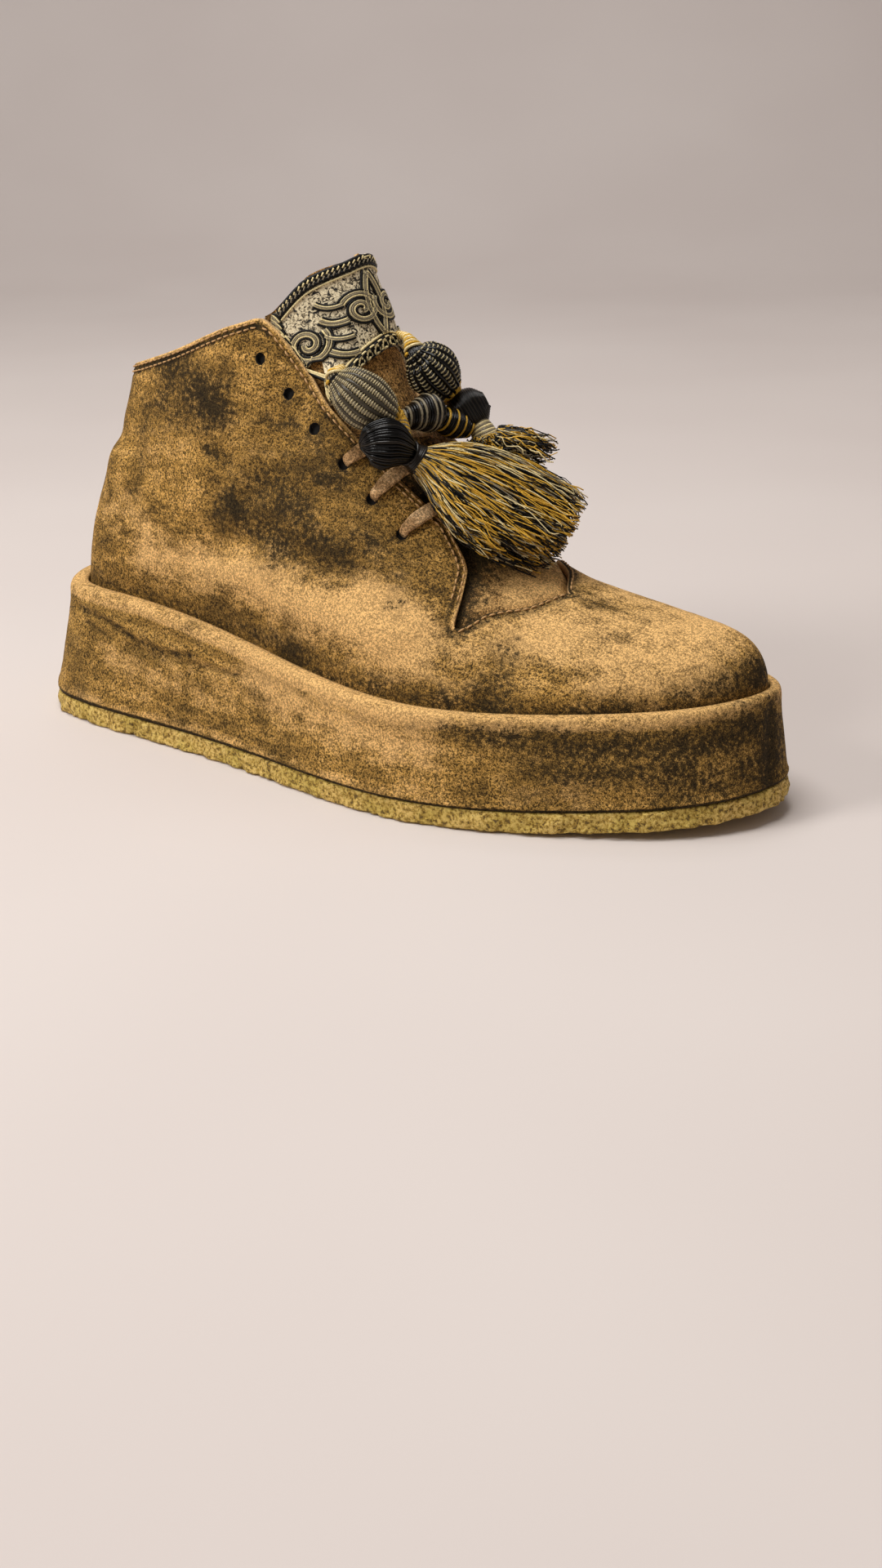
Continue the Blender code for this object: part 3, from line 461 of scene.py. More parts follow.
def line_distance(points, line):
    """Distance from each point to a line of points, and how far along the line the nearest place lies."""
    points = np.asarray(points, float)
    line = np.asarray(line, float)
    best = np.full(len(points), np.inf)
    share = np.zeros(len(points))
    steps = np.linalg.norm(np.diff(line, axis=0), axis=1)
    total = steps.sum()
    passed = 0.0
    for a, b, step in zip(line, line[1:], steps):
        if step > 0:
            t = np.clip((points - a) @ (b - a) / step**2, 0, 1)
            gap = np.linalg.norm(points - (a + t[:, None] * (b - a)), axis=1)
            nearer = gap < best
            best[nearer] = gap[nearer]
            share[nearer] = (passed + t[nearer] * step) / total
        passed += step
    return best, share


def quad_normals(points, quads):
    """Area-weighted point normals of a sheet of quads."""
    corner = points[quads]
    area = np.cross(corner[:, 2] - corner[:, 0], corner[:, 3] - corner[:, 1])
    normals = np.zeros(points.shape)
    for k in range(4):
        np.add.at(normals, quads[:, k], area)
    return unit(normals)


def even_normals(points, quads, pole, reach=7.0):
    """Point normals; near the toe's pole, where the columns run together, the mean of those around it."""
    normals = quad_normals(points, quads)
    away = np.linalg.norm(points - pole, axis=1)
    around = normals[(away > reach) & (away < 1.8 * reach)].mean(axis=0)
    blend = np.clip(2 - 2 * away / reach, 0, 1)[:, None]
    return unit(normals * (1 - blend) + around * blend)


def weld(points, quads, *more):
    """Joins points that coincide; further arrays keep one row for each point left."""
    _, keep, back = np.unique(np.round(points, 3), axis=0, return_index=True, return_inverse=True)
    return (points[keep], back.ravel()[quads]) + tuple(values[keep] for values in more)


def drop_loose(points, quads, *more):
    """Leaves out the points that no face uses."""
    used = np.unique(quads)
    place = np.full(len(points), -1)
    place[used] = np.arange(len(used))
    return (points[used], place[quads]) + tuple(values[used] for values in more)


def quad_edges(quads):
    return np.concatenate([quads[:, (k, (k + 1) % 4)] for k in range(4)])


def rim_edges(quads):
    """Edges that only one face of a sheet uses, in that face's direction."""
    edges = quad_edges(quads)
    _, first, count = np.unique(np.sort(edges, axis=1), axis=0, return_index=True, return_counts=True)
    return edges[first[count == 1]]


def thicken(outer, inner, quads):
    """Closed solid between two matching sheets: faces outside, inside and along the rims, in that order."""
    count = len(outer)
    rims = rim_edges(quads)
    walls = np.column_stack([rims[:, 1], rims[:, 0], count + rims[:, 0], count + rims[:, 1]])
    return np.concatenate([outer, inner]), np.concatenate([quads, count + quads[:, ::-1], walls]), len(walls)


def sheet_kinds(quads, walls):
    """Kind of each face of a thickened sheet."""
    return np.repeat((OUTSIDE, LINED, CUT), (len(quads), len(quads), walls))


def sheet_over_last(stations, spans, shares):
    """Grid over both sides of the last: points, quads and each point's station, v and side."""
    points, quads, places = [], [], []
    start = 0
    for side in SIDES:
        bottom, top = spans[side]
        v = bottom[:, None] + (top - bottom)[:, None] * shares
        s = np.repeat(stations, len(shares))
        points.append(last_surface(s, v.ravel(), side))
        places.append(np.column_stack([s, v.ravel(), np.full(s.shape, side)]))
        index = start + np.arange(v.size).reshape(v.shape)
        start += v.size
        faces = np.stack([index[:-1, :-1], index[1:, :-1], index[1:, 1:], index[:-1, 1:]], axis=-1)
        faces = faces.reshape(-1, 4)
        quads.append(faces if side == MEDIAL else faces[:, ::-1])
    return weld(np.concatenate(points), np.concatenate(quads), np.concatenate(places))


def make_mesh(name, points, faces, materials, face_materials=None, attributes=None):
    mesh = bpy.data.meshes.new(name)
    mesh.from_pydata(((np.asarray(points) - CENTRE) * MM).tolist(), [], [list(map(int, f)) for f in faces])
    for material in materials:
        mesh.materials.append(material)
    if face_materials is not None:
        mesh.polygons.foreach_set("material_index", np.asarray(face_materials, np.int32))
    for key, values in (attributes or {}).items():
        layer = mesh.attributes.new(key, "FLOAT", "POINT")
        layer.data.foreach_set("value", np.asarray(values, np.float32))
    mesh.validate()
    mesh.update()
    mesh.shade_smooth()
    return mesh


def add_piece(name, slot, nodes, *mesh_parts):
    """Puts a mesh into the scene as a piece of the shoe that stands for the nodes."""
    piece = bpy.data.objects.new(name, make_mesh(name, *mesh_parts))
    bpy.context.scene.collection.objects.link(piece)
    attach(piece, "root")
    if nodes:
        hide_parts(*nodes)


def skin_rings(rings, flip):
    """Closed tubes through rings of points (threads by rings by sides by three): points and faces."""
    index = np.arange(rings[..., 0].size).reshape(rings.shape[:3])
    turned = np.roll(index, -1, axis=2)
    quads = np.stack([index[:, :-1], turned[:, :-1], turned[:, 1:], index[:, 1:]], axis=-1).reshape(-1, 4)
    faces = quads.tolist() + index[:, 0, ::-1].tolist() + index[:, -1].tolist()
    return rings.reshape(-1, 3), [face[::-1] for face in faces] if flip else faces


def tubes(paths, radii, sides):
    """Many round threads at once: paths is threads by points by three, radii threads by points."""
    paths = np.asarray(paths, float)
    tangent = unit(np.gradient(paths, axis=1))
    guide = np.where(np.abs(tangent.mean(axis=1)[:, 2:3]) < 0.8, [[0.0, 0.0, 1.0]], [[1.0, 0.0, 0.0]])
    across = unit(np.cross(tangent, guide[:, None, :]))
    off = np.cross(across, tangent)
    turns = full_turn(sides)
    ring = across[:, :, None, :] * np.cos(turns)[:, None] + off[:, :, None, :] * np.sin(turns)[:, None]
    return skin_rings(paths[:, :, None, :] + ring * np.asarray(radii)[:, :, None, None], True)


# Materials


def srgb(red, green, blue):
    """Linear colour for a shader from 0 to 255 display values."""
    values = []
    for value in (red, green, blue):
        share = value / 255
        values.append(share / 12.92 if share <= 0.04045 else ((share + 0.055) / 1.055)**2.4)
    return (*values, 1.0)


# Suede: share of the fine streaks, size of the specks, how far marks break up, and the marks' colours: a
# rubbed colour for wear and painted highlights, a dark colour for dirt and painted shade
STREAK_SHARE = 0.3
SPECK_SIZE = 4.5
MARK_BREAKUP = 1.9
RUBBED_AND_HIGHLIGHT_COLOUR = srgb(208, 166, 106)
DIRT_AND_SHADE_COLOUR = srgb(48, 37, 17)


class Shader:
    """Node material with short calls to add and link nodes."""

    def __init__(self, name, roughness, **sockets):
        self.material = bpy.data.materials.new(name)
        self.material.use_nodes = True
        self.tree = self.material.node_tree
        self.surface = self.tree.nodes["Principled BSDF"]
        self.surface.inputs["Roughness"].default_value = roughness
        for key, value in sockets.items():
            self.surface.inputs[key.replace("_", " ")].default_value = value
        self.coordinates = self.add("ShaderNodeTexCoord").outputs["Object"]

    def add(self, kind, links=None, **settings):
        node = self.tree.nodes.new(kind)
        for key, value in settings.items():
            setattr(node, key, value)
        for key, value in (links or {}).items():
            if isinstance(value, bpy.types.NodeSocket):
                self.tree.links.new(value, node.inputs[key])
            else:
                node.inputs[key].default_value = value
        return node

    def noise(self, scale, detail=4.0, roughness=0.55, stretch=None, distortion=0.0, turn=0.0):
        """Noise from 0 to 1 with so many cells per metre; a stretch draws it out along a turned way."""
        vector = self.coordinates
        if stretch:
            turned = {"Vector": vector, "Rotation": (0.0, turn, 0.0), "Scale": stretch}
            vector = self.add("ShaderNodeMapping", turned).outputs["Vector"]
        links = {"Vector": vector, "Scale": scale, "Detail": detail, "Roughness": roughness,
                 "Distortion": distortion}
        return self.add("ShaderNodeTexNoise", links).outputs["Fac"]

    def math(self, operation, first, second=0.0, clamp=False):
        node = self.add("ShaderNodeMath", {0: first, 1: second}, operation=operation, use_clamp=clamp)
        return node.outputs[0]

    def total(self, *terms):
        """Sum of values, each times its weight."""
        parts = [self.math("MULTIPLY", value, weight) for value, weight in terms]
        value = parts[0]
        for part in parts[1:]:
            value = self.math("ADD", value, part)
        return value

    def ramp(self, factor, *stops):
        """Colour ramp; each stop is a place and a colour."""
        node = self.add("ShaderNodeValToRGB", {"Fac": factor})
        elements = node.color_ramp.elements
        while len(elements) < len(stops):
            elements.new(0.5)
        for element, (place, colour) in zip(elements, stops):
            element.position = place
            element.color = colour
        return node.outputs["Color"]

    def levels(self, factor, *stops):
        """Grey ramp; each stop is a place and a brightness."""
        return self.ramp(factor, *((place, (grey, grey, grey, 1.0)) for place, grey in stops))

    def step(self, value, low, high):
        """Smooth step from 0 at low to 1 at high."""
        links = {"Value": value, "From Min": low, "From Max": high}
        return self.add("ShaderNodeMapRange", links, interpolation_type="SMOOTHSTEP").outputs["Result"]

    def mix(self, factor, first, second, blend="MIX"):
        links = {0: factor, 6: first, 7: second}
        return self.add("ShaderNodeMix", links, data_type="RGBA", blend_type=blend).outputs[2]

    def attribute(self, name):
        return self.add("ShaderNodeAttribute", attribute_name=name).outputs["Fac"]

    def bump(self, height, strength, distance, normal=None):
        links = {"Height": height, "Strength": strength, "Distance": distance}
        if normal is not None:
            links["Normal"] = normal
        return self.add("ShaderNodeBump", links).outputs["Normal"]

    def finish(self, colour, normal=None):
        self.tree.links.new(colour, self.surface.inputs["Base Color"])
        if normal is not None:
            self.tree.links.new(normal, self.surface.inputs["Normal"])
        return self.material


def suede(name, tones, marked=True, turn=0.6, contrast=1.0):
    """Nubby suede: mottled tones brushed one way, dirt with painted shade and wear with painted highlights
    from the piece's marks, and a fine nap.
    """
    dark, mid, light = tones
    shader = Shader(name, 0.8, Specular_IOR_Level=0.16)
    cloud = shader.noise(24, 4)
    brush = shader.noise(170, 6, 0.68, (0.30, 1.0, 1.0), 0.0, turn)
    streak = shader.noise(420, 5, 0.7, (0.35, 1.0, 1.0), 0.0, turn)
    mottle = shader.noise(130, 8, 0.74)
    nap = shader.noise(1300, 3, 0.7)
    fibre = shader.noise(2900, 2, 0.6)
    tone = shader.total((cloud, 0.35), (brush, 0.4), (mottle, 0.25), (streak, STREAK_SHARE))
    tone = shader.math("SUBTRACT", tone, STREAK_SHARE / 2)
    colour = shader.ramp(tone, (0.41, dark), (0.5, mid), (0.59, light))
    if marked:
        broken = shader.total((mottle, MARK_BREAKUP), (brush, MARK_BREAKUP))
        broken = shader.math("SUBTRACT", broken, MARK_BREAKUP)
        # Wear and painted highlights lighten the suede
        rubbed_and_lit = shader.step(shader.math("ADD", shader.attribute("worn"), broken), 0.05, 1.2)
        contrast = shader.math("SUBTRACT", contrast, shader.math("MULTIPLY", rubbed_and_lit, 0.5))
        colour = shader.mix(rubbed_and_lit, colour, RUBBED_AND_HIGHLIGHT_COLOUR)
        # Dirt and painted shade darken the suede
        dirt_and_shade_mark = shader.attribute("stain")
        speck = shader.total((nap, SPECK_SIZE), (shader.noise(600, 4, 0.7), SPECK_SIZE))
        speck = shader.math("SUBTRACT", speck, SPECK_SIZE)
        share = shader.math("ADD", shader.math("MULTIPLY", dirt_and_shade_mark, 1.3), 0.15, True)
        speck = shader.math("MULTIPLY", speck, share)
        stain = shader.math("ADD", shader.math("ADD", dirt_and_shade_mark, broken), speck)
        colour = shader.mix(shader.step(stain, 0.28, 1.35), colour, DIRT_AND_SHADE_COLOUR)
    grain = shader.total((nap, 0.6), (fibre, 0.4))
    grain = shader.ramp(grain, (0.43, (0.14, 0.14, 0.13, 1)), (0.5, (0.92, 0.92, 0.92, 1)),
                        (0.57, (2.05, 2.05, 2.05, 1)))
    colour = shader.mix(contrast, colour, grain, "MULTIPLY")
    coarse = shader.bump(mottle, 0.45, 0.0009)
    return shader.finish(colour, shader.bump(nap, 0.8, 0.0004, coarse))


def plain_grain(name, colour, roughness, scale=900, **sockets):
    """Simple speckled finish for small parts."""
    shader = Shader(name, roughness, **sockets)
    nap = shader.noise(scale, 4, 0.6)
    low = tuple(0.7 * c for c in colour[:3]) + (1.0,)
    high = tuple(min(1.0, 1.2 * c) for c in colour[:3]) + (1.0,)
    tone = shader.ramp(nap, (0.3, low), (0.7, high))
    return shader.finish(tone, shader.bump(nap, 0.4, 0.0002))


SUEDE_TONES = (srgb(92, 69, 31), srgb(138, 105, 50), srgb(178, 138, 74))
UPPER_SUEDE = suede("upper_suede", SUEDE_TONES)
PLATFORM_SUEDE = suede("wrap_suede", (srgb(96, 73, 33), srgb(142, 109, 53), srgb(174, 136, 73)), True, 0.06)
TONGUE_SUEDE = suede("tongue_suede", (srgb(104, 76, 40), srgb(150, 112, 62), srgb(190, 145, 86)))
LINING = suede("lining_suede", (srgb(150, 112, 62), srgb(188, 146, 84), srgb(208, 166, 104)), False)
RAW_EDGE = plain_grain("raw_edge", srgb(206, 168, 116), 0.9)
# Painted shadow for the hole walls and the discs inside the holes
HOLE_SHADOW = plain_grain("hole_shadow", srgb(16, 12, 8), 0.95)
STITCH_THREAD = plain_grain("stitch_thread", srgb(196, 152, 98), 0.7, 1800)


# Upper

# Creases of the upper: a path of stations and heights on one side, half width and depth; a ridge is negative
# crease, side, path, half width, depth
CREASES = (
    ("heel fold", LATERAL, ((1.0, 0.70), (0.94, 0.705), (0.894, 0.70), (0.86, 0.63), (0.824, 0.52)),
     5.0, 1.1),
    ("heel bulge", LATERAL, ((1.0, 0.61), (0.93, 0.61), (0.88, 0.57)), 7.0, -0.9),
    ("ankle dimple", LATERAL, ((0.740, 0.600), (0.700, 0.552)), 3.5, 0.8),
    ("ankle fold", LATERAL, ((0.66, 0.37), (0.63, 0.379), (0.582, 0.405), (0.538, 0.464)), 4.5, 1.0),
    ("flex fold", LATERAL, ((0.71, 0.28), (0.642, 0.268), (0.582, 0.286), (0.524, 0.322), (0.48, 0.38)),
     6.0, 1.9),
    ("flex ridge", LATERAL, ((0.66, 0.19), (0.58, 0.186), (0.524, 0.226), (0.458, 0.254), (0.41, 0.29)),
     8.0, -1.5),
    ("slant fold", LATERAL, ((0.744, 0.363), (0.684, 0.311), (0.628, 0.229)), 4.0, 0.7),
    ("vamp fold", LATERAL, ((0.292, 0.54), (0.294, 0.338), (0.304, 0.148)), 4.5, 0.8),
    ("vamp crease", LATERAL, ((0.242, 0.60), (0.266, 0.375), (0.282, 0.207)), 4.0, 0.6),
    ("corner pull", LATERAL, ((0.354, 0.44), (0.375, 0.34), (0.40, 0.25)), 5.0, 0.7),
    ("inner heel", MEDIAL, ((1.0, 0.70), (0.93, 0.70), (0.87, 0.60), (0.84, 0.50)), 5.0, 1.1),
    ("inner bulge", MEDIAL, ((1.0, 0.61), (0.92, 0.60), (0.87, 0.52)), 7.0, -0.9),
    ("inner ankle", MEDIAL, ((0.68, 0.42), (0.61, 0.40), (0.545, 0.47)), 5.0, 1.1),
    ("inner flex", MEDIAL, ((0.66, 0.27), (0.59, 0.28), (0.51, 0.34), (0.47, 0.41)), 6.0, 1.6),
    ("inner ridge", MEDIAL, ((0.62, 0.19), (0.54, 0.22), (0.45, 0.27)), 8.0, -1.2),
    ("inner vamp", MEDIAL, ((0.285, 0.56), (0.292, 0.34), (0.30, 0.16)), 4.5, 0.8),
)
# Dirt on the upper, and painted shade in creases, over the ankle fold and along the feather line as marked: a
# path of stations and heights on one side, half width and strength mark, side, path, half width, strength
STAINS_AND_SHADE = (
    ("collar smudge", LATERAL, ((0.83, 0.95), (0.772, 0.85), (0.74, 0.76)), 8.5, 1.15),
    ("ankle cloud", LATERAL, ((0.80, 0.76), (0.75, 0.68), (0.68, 0.66)), 12.0, 0.22),
    ("back strip", LATERAL, ((0.862, 0.82), (0.856, 0.675), (0.846, 0.49)), 6.0, 0.65),
    # Painted shade in the ankle dimple crease
    ("dimple", LATERAL, ((0.740, 0.600), (0.722, 0.581), (0.706, 0.562)), 1.8, 1.2),
    ("speck cloud", LATERAL, ((0.828, 0.788), (0.784, 0.744), (0.748, 0.70)), 7.0, 0.45),
    # Painted shade in two creases
    ("hole crease", LATERAL, ((0.666, 0.565), (0.638, 0.512), (0.61, 0.497)), 1.8, 0.7),
    ("side crease", LATERAL, ((0.606, 0.426), (0.574, 0.468), (0.524, 0.539)), 3.0, 0.35),
    ("high speck", LATERAL, ((0.736, 0.881), (0.728, 0.844)), 3.0, 0.70),
    ("low tick", LATERAL, ((0.682, 0.415), (0.668, 0.355)), 2.4, 0.90),
    ("under holes", LATERAL, ((0.454, 0.508), (0.432, 0.549)), 6.0, 0.3),
    ("corner tick", LATERAL, ((0.426, 0.372), (0.416, 0.40)), 2.0, 0.55),
    ("flex cloud", LATERAL, ((0.69, 0.37), (0.626, 0.29), (0.588, 0.295), (0.55, 0.34), (0.50, 0.39)),
     7.5, 1.05),
    ("flex high", LATERAL, ((0.63, 0.38), (0.60, 0.362), (0.57, 0.40)), 6.0, 0.80),
    ("flex foot", LATERAL, ((0.618, 0.223), (0.594, 0.228)), 6.0, 0.35),
    # Painted shade over the ankle fold
    ("ankle shade", LATERAL, ((0.67, 0.42), (0.616, 0.41), (0.574, 0.449)), 11.0, 0.32),
    ("lacing", LATERAL, ((0.56, 0.56), (0.50, 0.546), (0.454, 0.52), (0.42, 0.50)), 8.0, 0.36),
    ("corner", LATERAL, ((0.45, 0.42), (0.43, 0.40), (0.41, 0.40)), 6.0, 0.12),
    ("vamp streak", LATERAL, ((0.294, 0.46), (0.296, 0.325), (0.302, 0.188)), 7.5, 0.60),
    ("corner dust", LATERAL, ((0.372, 0.334), (0.36, 0.36)), 6.0, 0.25),
    ("toe edge", LATERAL, ((0.17, 0.12), (0.124, 0.10), (0.096, 0.14), (0.062, 0.20), (0.02, 0.30)),
     5.5, 0.52),
    ("toe flank", LATERAL, ((0.11, 0.26), (0.078, 0.325), (0.03, 0.38)), 6.0, 0.45),
    # Dirt specks with painted shade low along the feather line
    ("feather heel", LATERAL, ((0.99, 0.07), (0.85, 0.08), (0.71, 0.065), (0.55, 0.075)), 6.0, 0.70),
    ("feather ball", LATERAL, ((0.55, 0.075), (0.40, 0.10), (0.30, 0.12), (0.17, 0.12)), 6.0, 0.75),
    ("facing top", LATERAL, ((0.67, 0.93), (0.65, 0.80)), 5.0, 0.35),
    ("heel top", LATERAL, ((0.99, 0.90), (0.93, 0.86)), 9.0, 0.25),
    ("inner collar", MEDIAL, ((0.84, 0.92), (0.77, 0.85)), 9.0, 0.45),
    ("inner cloud", MEDIAL, ((0.68, 0.36), (0.60, 0.29), (0.53, 0.36), (0.48, 0.42)), 8.0, 0.75),
    ("inner lacing", MEDIAL, ((0.54, 0.55), (0.47, 0.55), (0.42, 0.57)), 8.0, 0.55),
    ("inner strip", MEDIAL, ((0.87, 0.80), (0.86, 0.55)), 7.0, 0.45),
    ("inner vamp", MEDIAL, ((0.29, 0.48), (0.30, 0.2)), 7.0, 0.40),
    ("inner toe", MEDIAL, ((0.20, 0.12), (0.12, 0.12), (0.06, 0.22), (0.0, 0.36)), 7.0, 0.95),
    # Dirt specks with painted shade low along the inner feather line
    ("inner feather", MEDIAL, ((0.99, 0.07), (0.80, 0.07), (0.55, 0.08), (0.20, 0.12)), 6.0, 0.55),
)
# Rubbed light places on the upper, in the same columns; some add painted highlight or painted sheen, as
# marked
RUBS_AND_HIGHLIGHTS = (
    # Wear with painted sheen
    ("flex gloss", LATERAL, ((0.60, 0.185), (0.524, 0.226), (0.458, 0.254), (0.40, 0.27)), 10.0, 1.2),
    ("heel side", LATERAL, ((0.838, 0.625), (0.79, 0.61)), 7.0, 0.40),
    ("heel low", LATERAL, ((0.90, 0.40), (0.82, 0.36)), 9.0, 0.45),
    ("ankle low", LATERAL, ((0.80, 0.22), (0.72, 0.23), (0.65, 0.19)), 9.0, 0.90),
    # Painted highlight where the top light falls, with wear
    ("vamp top", LATERAL, ((0.26, 0.75), (0.178, 0.72), (0.10, 0.77)), 16.0, 0.8),
    ("corner", LATERAL, ((0.45, 0.36), (0.40, 0.36)), 9.0, 0.95),
    ("toe side", LATERAL, ((0.18, 0.36), (0.10, 0.44)), 9.0, 0.55),
    ("vamp side", LATERAL, ((0.34, 0.36), (0.31, 0.52), (0.25, 0.62)), 10.0, 0.60),
    # Painted highlight where the top light falls, with wear
    ("toe top", MEDIAL, ((0.26, 0.75), (0.178, 0.76), (0.08, 0.80)), 16.0, 0.75),
    # Wear with painted sheen
    ("inner gloss", MEDIAL, ((0.60, 0.19), (0.52, 0.22), (0.44, 0.26)), 8.5, 0.70),
    ("inner heel low", MEDIAL, ((0.90, 0.40), (0.82, 0.36)), 9.0, 0.40),
)
CORNER_SMOOTHING = 0.012
EDGE_ROLL = 1.1
EDGE_ROLL_DEPTH = 0.45
STITCH_LENGTH = 2.1
STITCH_GAP = 0.8
STITCH_RADIUS = 0.33
STITCH_GROOVE = 0.35
STITCH_GROOVE_WIDTH = 0.55
STITCH_PROFILE = (0.6, 0.9, 1.0, 1.0, 0.9, 0.6)
STITCH_LIFT = 0.30
STITCH_ARCH = 1.6
CREASE_BACK = 0.8
EDGE_CALM = 4.0
# Painted shadow disc inside each lacing hole: depth as a share of the wall, reach past the hole and sides
HOLE_SHADOW_DEPTH = 0.75
HOLE_SHADOW_REACH = 0.2
HOLE_SIDES = 16
# Waves of a surface: cell size, height and seed
UPPER_WAVES = ((24, 0.30, 1), (9, 0.14, 2), (3.5, 0.06, 3))
# Painted shade near edges, in the stitched grooves and along the throat seam, and round the lacing holes:
# distance from the edge, width and strength; then the pale raw edge and its wear
EDGE_GROOVE_SHADE = (2.4, 1.2, 0.8)
COLLAR_GROOVE_SHADE = (2.4, 1.2, 1.5)
SEAM_SHADE = (0.0, 1.0, 1.7)
HOLE_SHADE = (0.0, 3.6, 0.5)
RAW_EDGE_WIDTH = 0.7
RAW_EDGE_CLEAN = 1.8
RAW_EDGE_WORN = 1.3
# Stitch rows beside the upper's edge: first and last station, distances from the edge
# row, first station, last station, distances
STITCH_ROWS = (
    ("collar", 0.700, 1.000, (1.5, 3.5)),
    ("facing", 0.470, 0.690, (2.6,)),
    ("facing foot", 0.359, 0.470, (1.6, 4.0)),
    ("throat", 0.276, 0.350, (1.6,)),
)


def fine_path(path, steps=6):
    """Both columns of a path, with more places between its rows."""
    first, second = np.array(path, float).T
    index = np.arange(len(path))
    places = np.linspace(0, len(path) - 1, steps * (len(path) - 1) + 1)
    return np.interp(places, index, first), np.interp(places, index, second)


def stroke_field(points, rows, surface):
    """Sum of soft strokes over the points; surface puts a row's path into place."""
    field = np.zeros(len(points))
    for _, side, path, width, amount in rows:
        gap, _ = line_distance(points, surface(*fine_path(path), side))
        field += amount * bell(gap, width)
    return field


def trimmed_edge(stations, side):
    """The edge's v with the collar's front corner rounded off."""
    height = edge_height(stations, side)
    near = np.abs(stations - COLLAR_CORNER_STATION) < 4 * CORNER_SMOOTHING
    rounded = height.copy()
    for k in np.flatnonzero(near):
        weight = bell(stations - stations[k], CORNER_SMOOTHING) * np.gradient(stations)
        rounded[k] = (weight * height).sum() / weight.sum()
    return np.minimum(rounded, height)


def edge_line(side, first=SEAM[0][1], last=1.0):
    """Line of the upper's open edge between two stations."""
    stations = spread_stations(UPPER_COLUMNS)
    height = trimmed_edge(stations, side)
    kept = (stations >= first - STATION_NEAR) & (stations <= last + STATION_NEAR)
    return last_surface(stations[kept], height[kept], side)


def edge_distance(points, last=1.0):
    """Distance from each point to the upper's open edge."""
    return np.minimum(*(line_distance(points, edge_line(side, last=last))[0] for side in SIDES))


def punch_holes(points, quads):
    """Takes out the faces inside each lacing hole and sets the hole's rim onto its circle."""
    for centre, normal in zip(HOLES, HOLE_NORMALS):
        middle = points[quads].mean(axis=1)
        inside = np.linalg.norm(middle - centre, axis=1) < EYELET_RADIUS
        cut = quads[inside]
        quads = quads[~inside]
        rim = np.intersect1d(np.unique(cut), np.unique(quads))
        away = points[rim] - centre
        away = unit(away - np.outer(away @ normal, normal))
        points[rim] = centre + EYELET_RADIUS * away
    return points, quads


def hole_frames():
    """Centre and normal of each lacing hole."""
    rows = [(station, v, side) for station, v in EYELETS for side in SIDES]
    centres = np.array([last_surface(*row)[0] for row in rows])
    return centres, np.array([last_normal(*row)[0] for row in rows])


EYELETS = eyelet_places()
HOLES, HOLE_NORMALS = hole_frames()


def upper_sheet():
    """The upper's outside, its places and the distance to its open edge."""
    stations = spread_stations(UPPER_COLUMNS)
    (low, knee, rows), (_, high, edge_rows) = UPPER_SHARES
    shares = np.concatenate([np.linspace(low, knee, rows), np.linspace(knee, high, edge_rows)[1:]])
    spans = {side: (np.zeros(stations.shape), trimmed_edge(stations, side)) for side in SIDES}
    outer, quads, places = sheet_over_last(stations, spans, shares)
    outer, quads = punch_holes(outer, quads)
    outer, quads, places = drop_loose(outer, quads, places)
    return outer, quads, places, edge_distance(outer)


def crease_depth(points, edge, places):
    """How far the surface sinks: creases, slow unevenness, the rolled edge and the stitched grooves."""
    depth = stroke_field(points, CREASES, last_surface) + unevenness(points, UPPER_WAVES)
    depth *= np.clip(edge / EDGE_CALM, 0.15, 1)
    depth += EDGE_ROLL_DEPTH * np.clip(1 - edge / EDGE_ROLL, 0, 1)**2
    for _, first, last, distances in STITCH_ROWS:
        row = (places[:, 0] > first - STATION_MARGIN) & (places[:, 0] < last + STATION_MARGIN)
        for distance in distances:
            depth += row * band(edge, distance, STITCH_GROOVE_WIDTH, STITCH_GROOVE)
    return depth


def upper_marks(outer, places, edge):
    """Dirt and painted shade, and wear and painted highlights, of each point of the upper: strokes, painted
    shade at the grooves, seam and holes, and pale raw edges.
    """
    collar = places[:, 0] > COLLAR_CORNER_STATION - STATION_MARGIN
    seamed = places[:, 0] < SEAM_CORNER_STATION
    pale = ~seamed * bell(edge, RAW_EDGE_WIDTH)
    hole_gap = np.linalg.norm(outer[:, None] - HOLES[None], axis=2).min(axis=1)
    stain = stroke_field(outer, STAINS_AND_SHADE, last_surface)
    # Painted shade in the stitched groove beside the collar and the facings
    stain += np.where(collar, band(edge, *COLLAR_GROOVE_SHADE), band(edge, *EDGE_GROOVE_SHADE))
    # Painted shadow line along the throat seam's edge, painted shade round the holes, and pale raw edges
    stain += seamed * band(edge, *SEAM_SHADE) - RAW_EDGE_CLEAN * pale + band(hole_gap, *HOLE_SHADE)
    return stain, stroke_field(outer, RUBS_AND_HIGHLIGHTS, last_surface) + RAW_EDGE_WORN * pale


def make_upper():
    outer, quads, places, edge = upper_sheet()
    normals = even_normals(outer, quads, last_surface(0.0, 1.0, LATERAL)[0])
    depth = crease_depth(outer, edge, places)
    inner = outer - (WALL + np.maximum(depth, 0) * CREASE_BACK)[:, None] * normals
    outer = outer - depth[:, None] * normals
    foot = places[:, 1] < STATION_NEAR
    inner[foot, 2] = outer[foot, 2]
    points, faces, walls = thicken(outer, inner, quads)
    kinds = sheet_kinds(quads, walls)
    middle = points[faces[-walls:]].mean(axis=1)
    # Wall faces inside the lacing holes take the painted hole shadow
    in_hole = np.linalg.norm(middle[:, None] - HOLES[None], axis=2).min(axis=1) < EYELET_RADIUS + WALL
    kinds[-walls:][in_hole] = IN_HOLE
    marks = upper_marks(outer, places, edge)
    points, faces, kinds = add_hole_shadows(points, faces.tolist(), kinds.tolist())
    extra = np.zeros(len(points) - 2 * len(outer))
    stain, worn = (np.concatenate([np.tile(mark, 2), extra]) for mark in marks)
    add_piece("upper_skin", "suede", ("upper",), points, faces, (UPPER_SUEDE, LINING, RAW_EDGE, HOLE_SHADOW),
              kinds, {"stain": stain, "worn": worn})
    add_stitching(outer, quads)


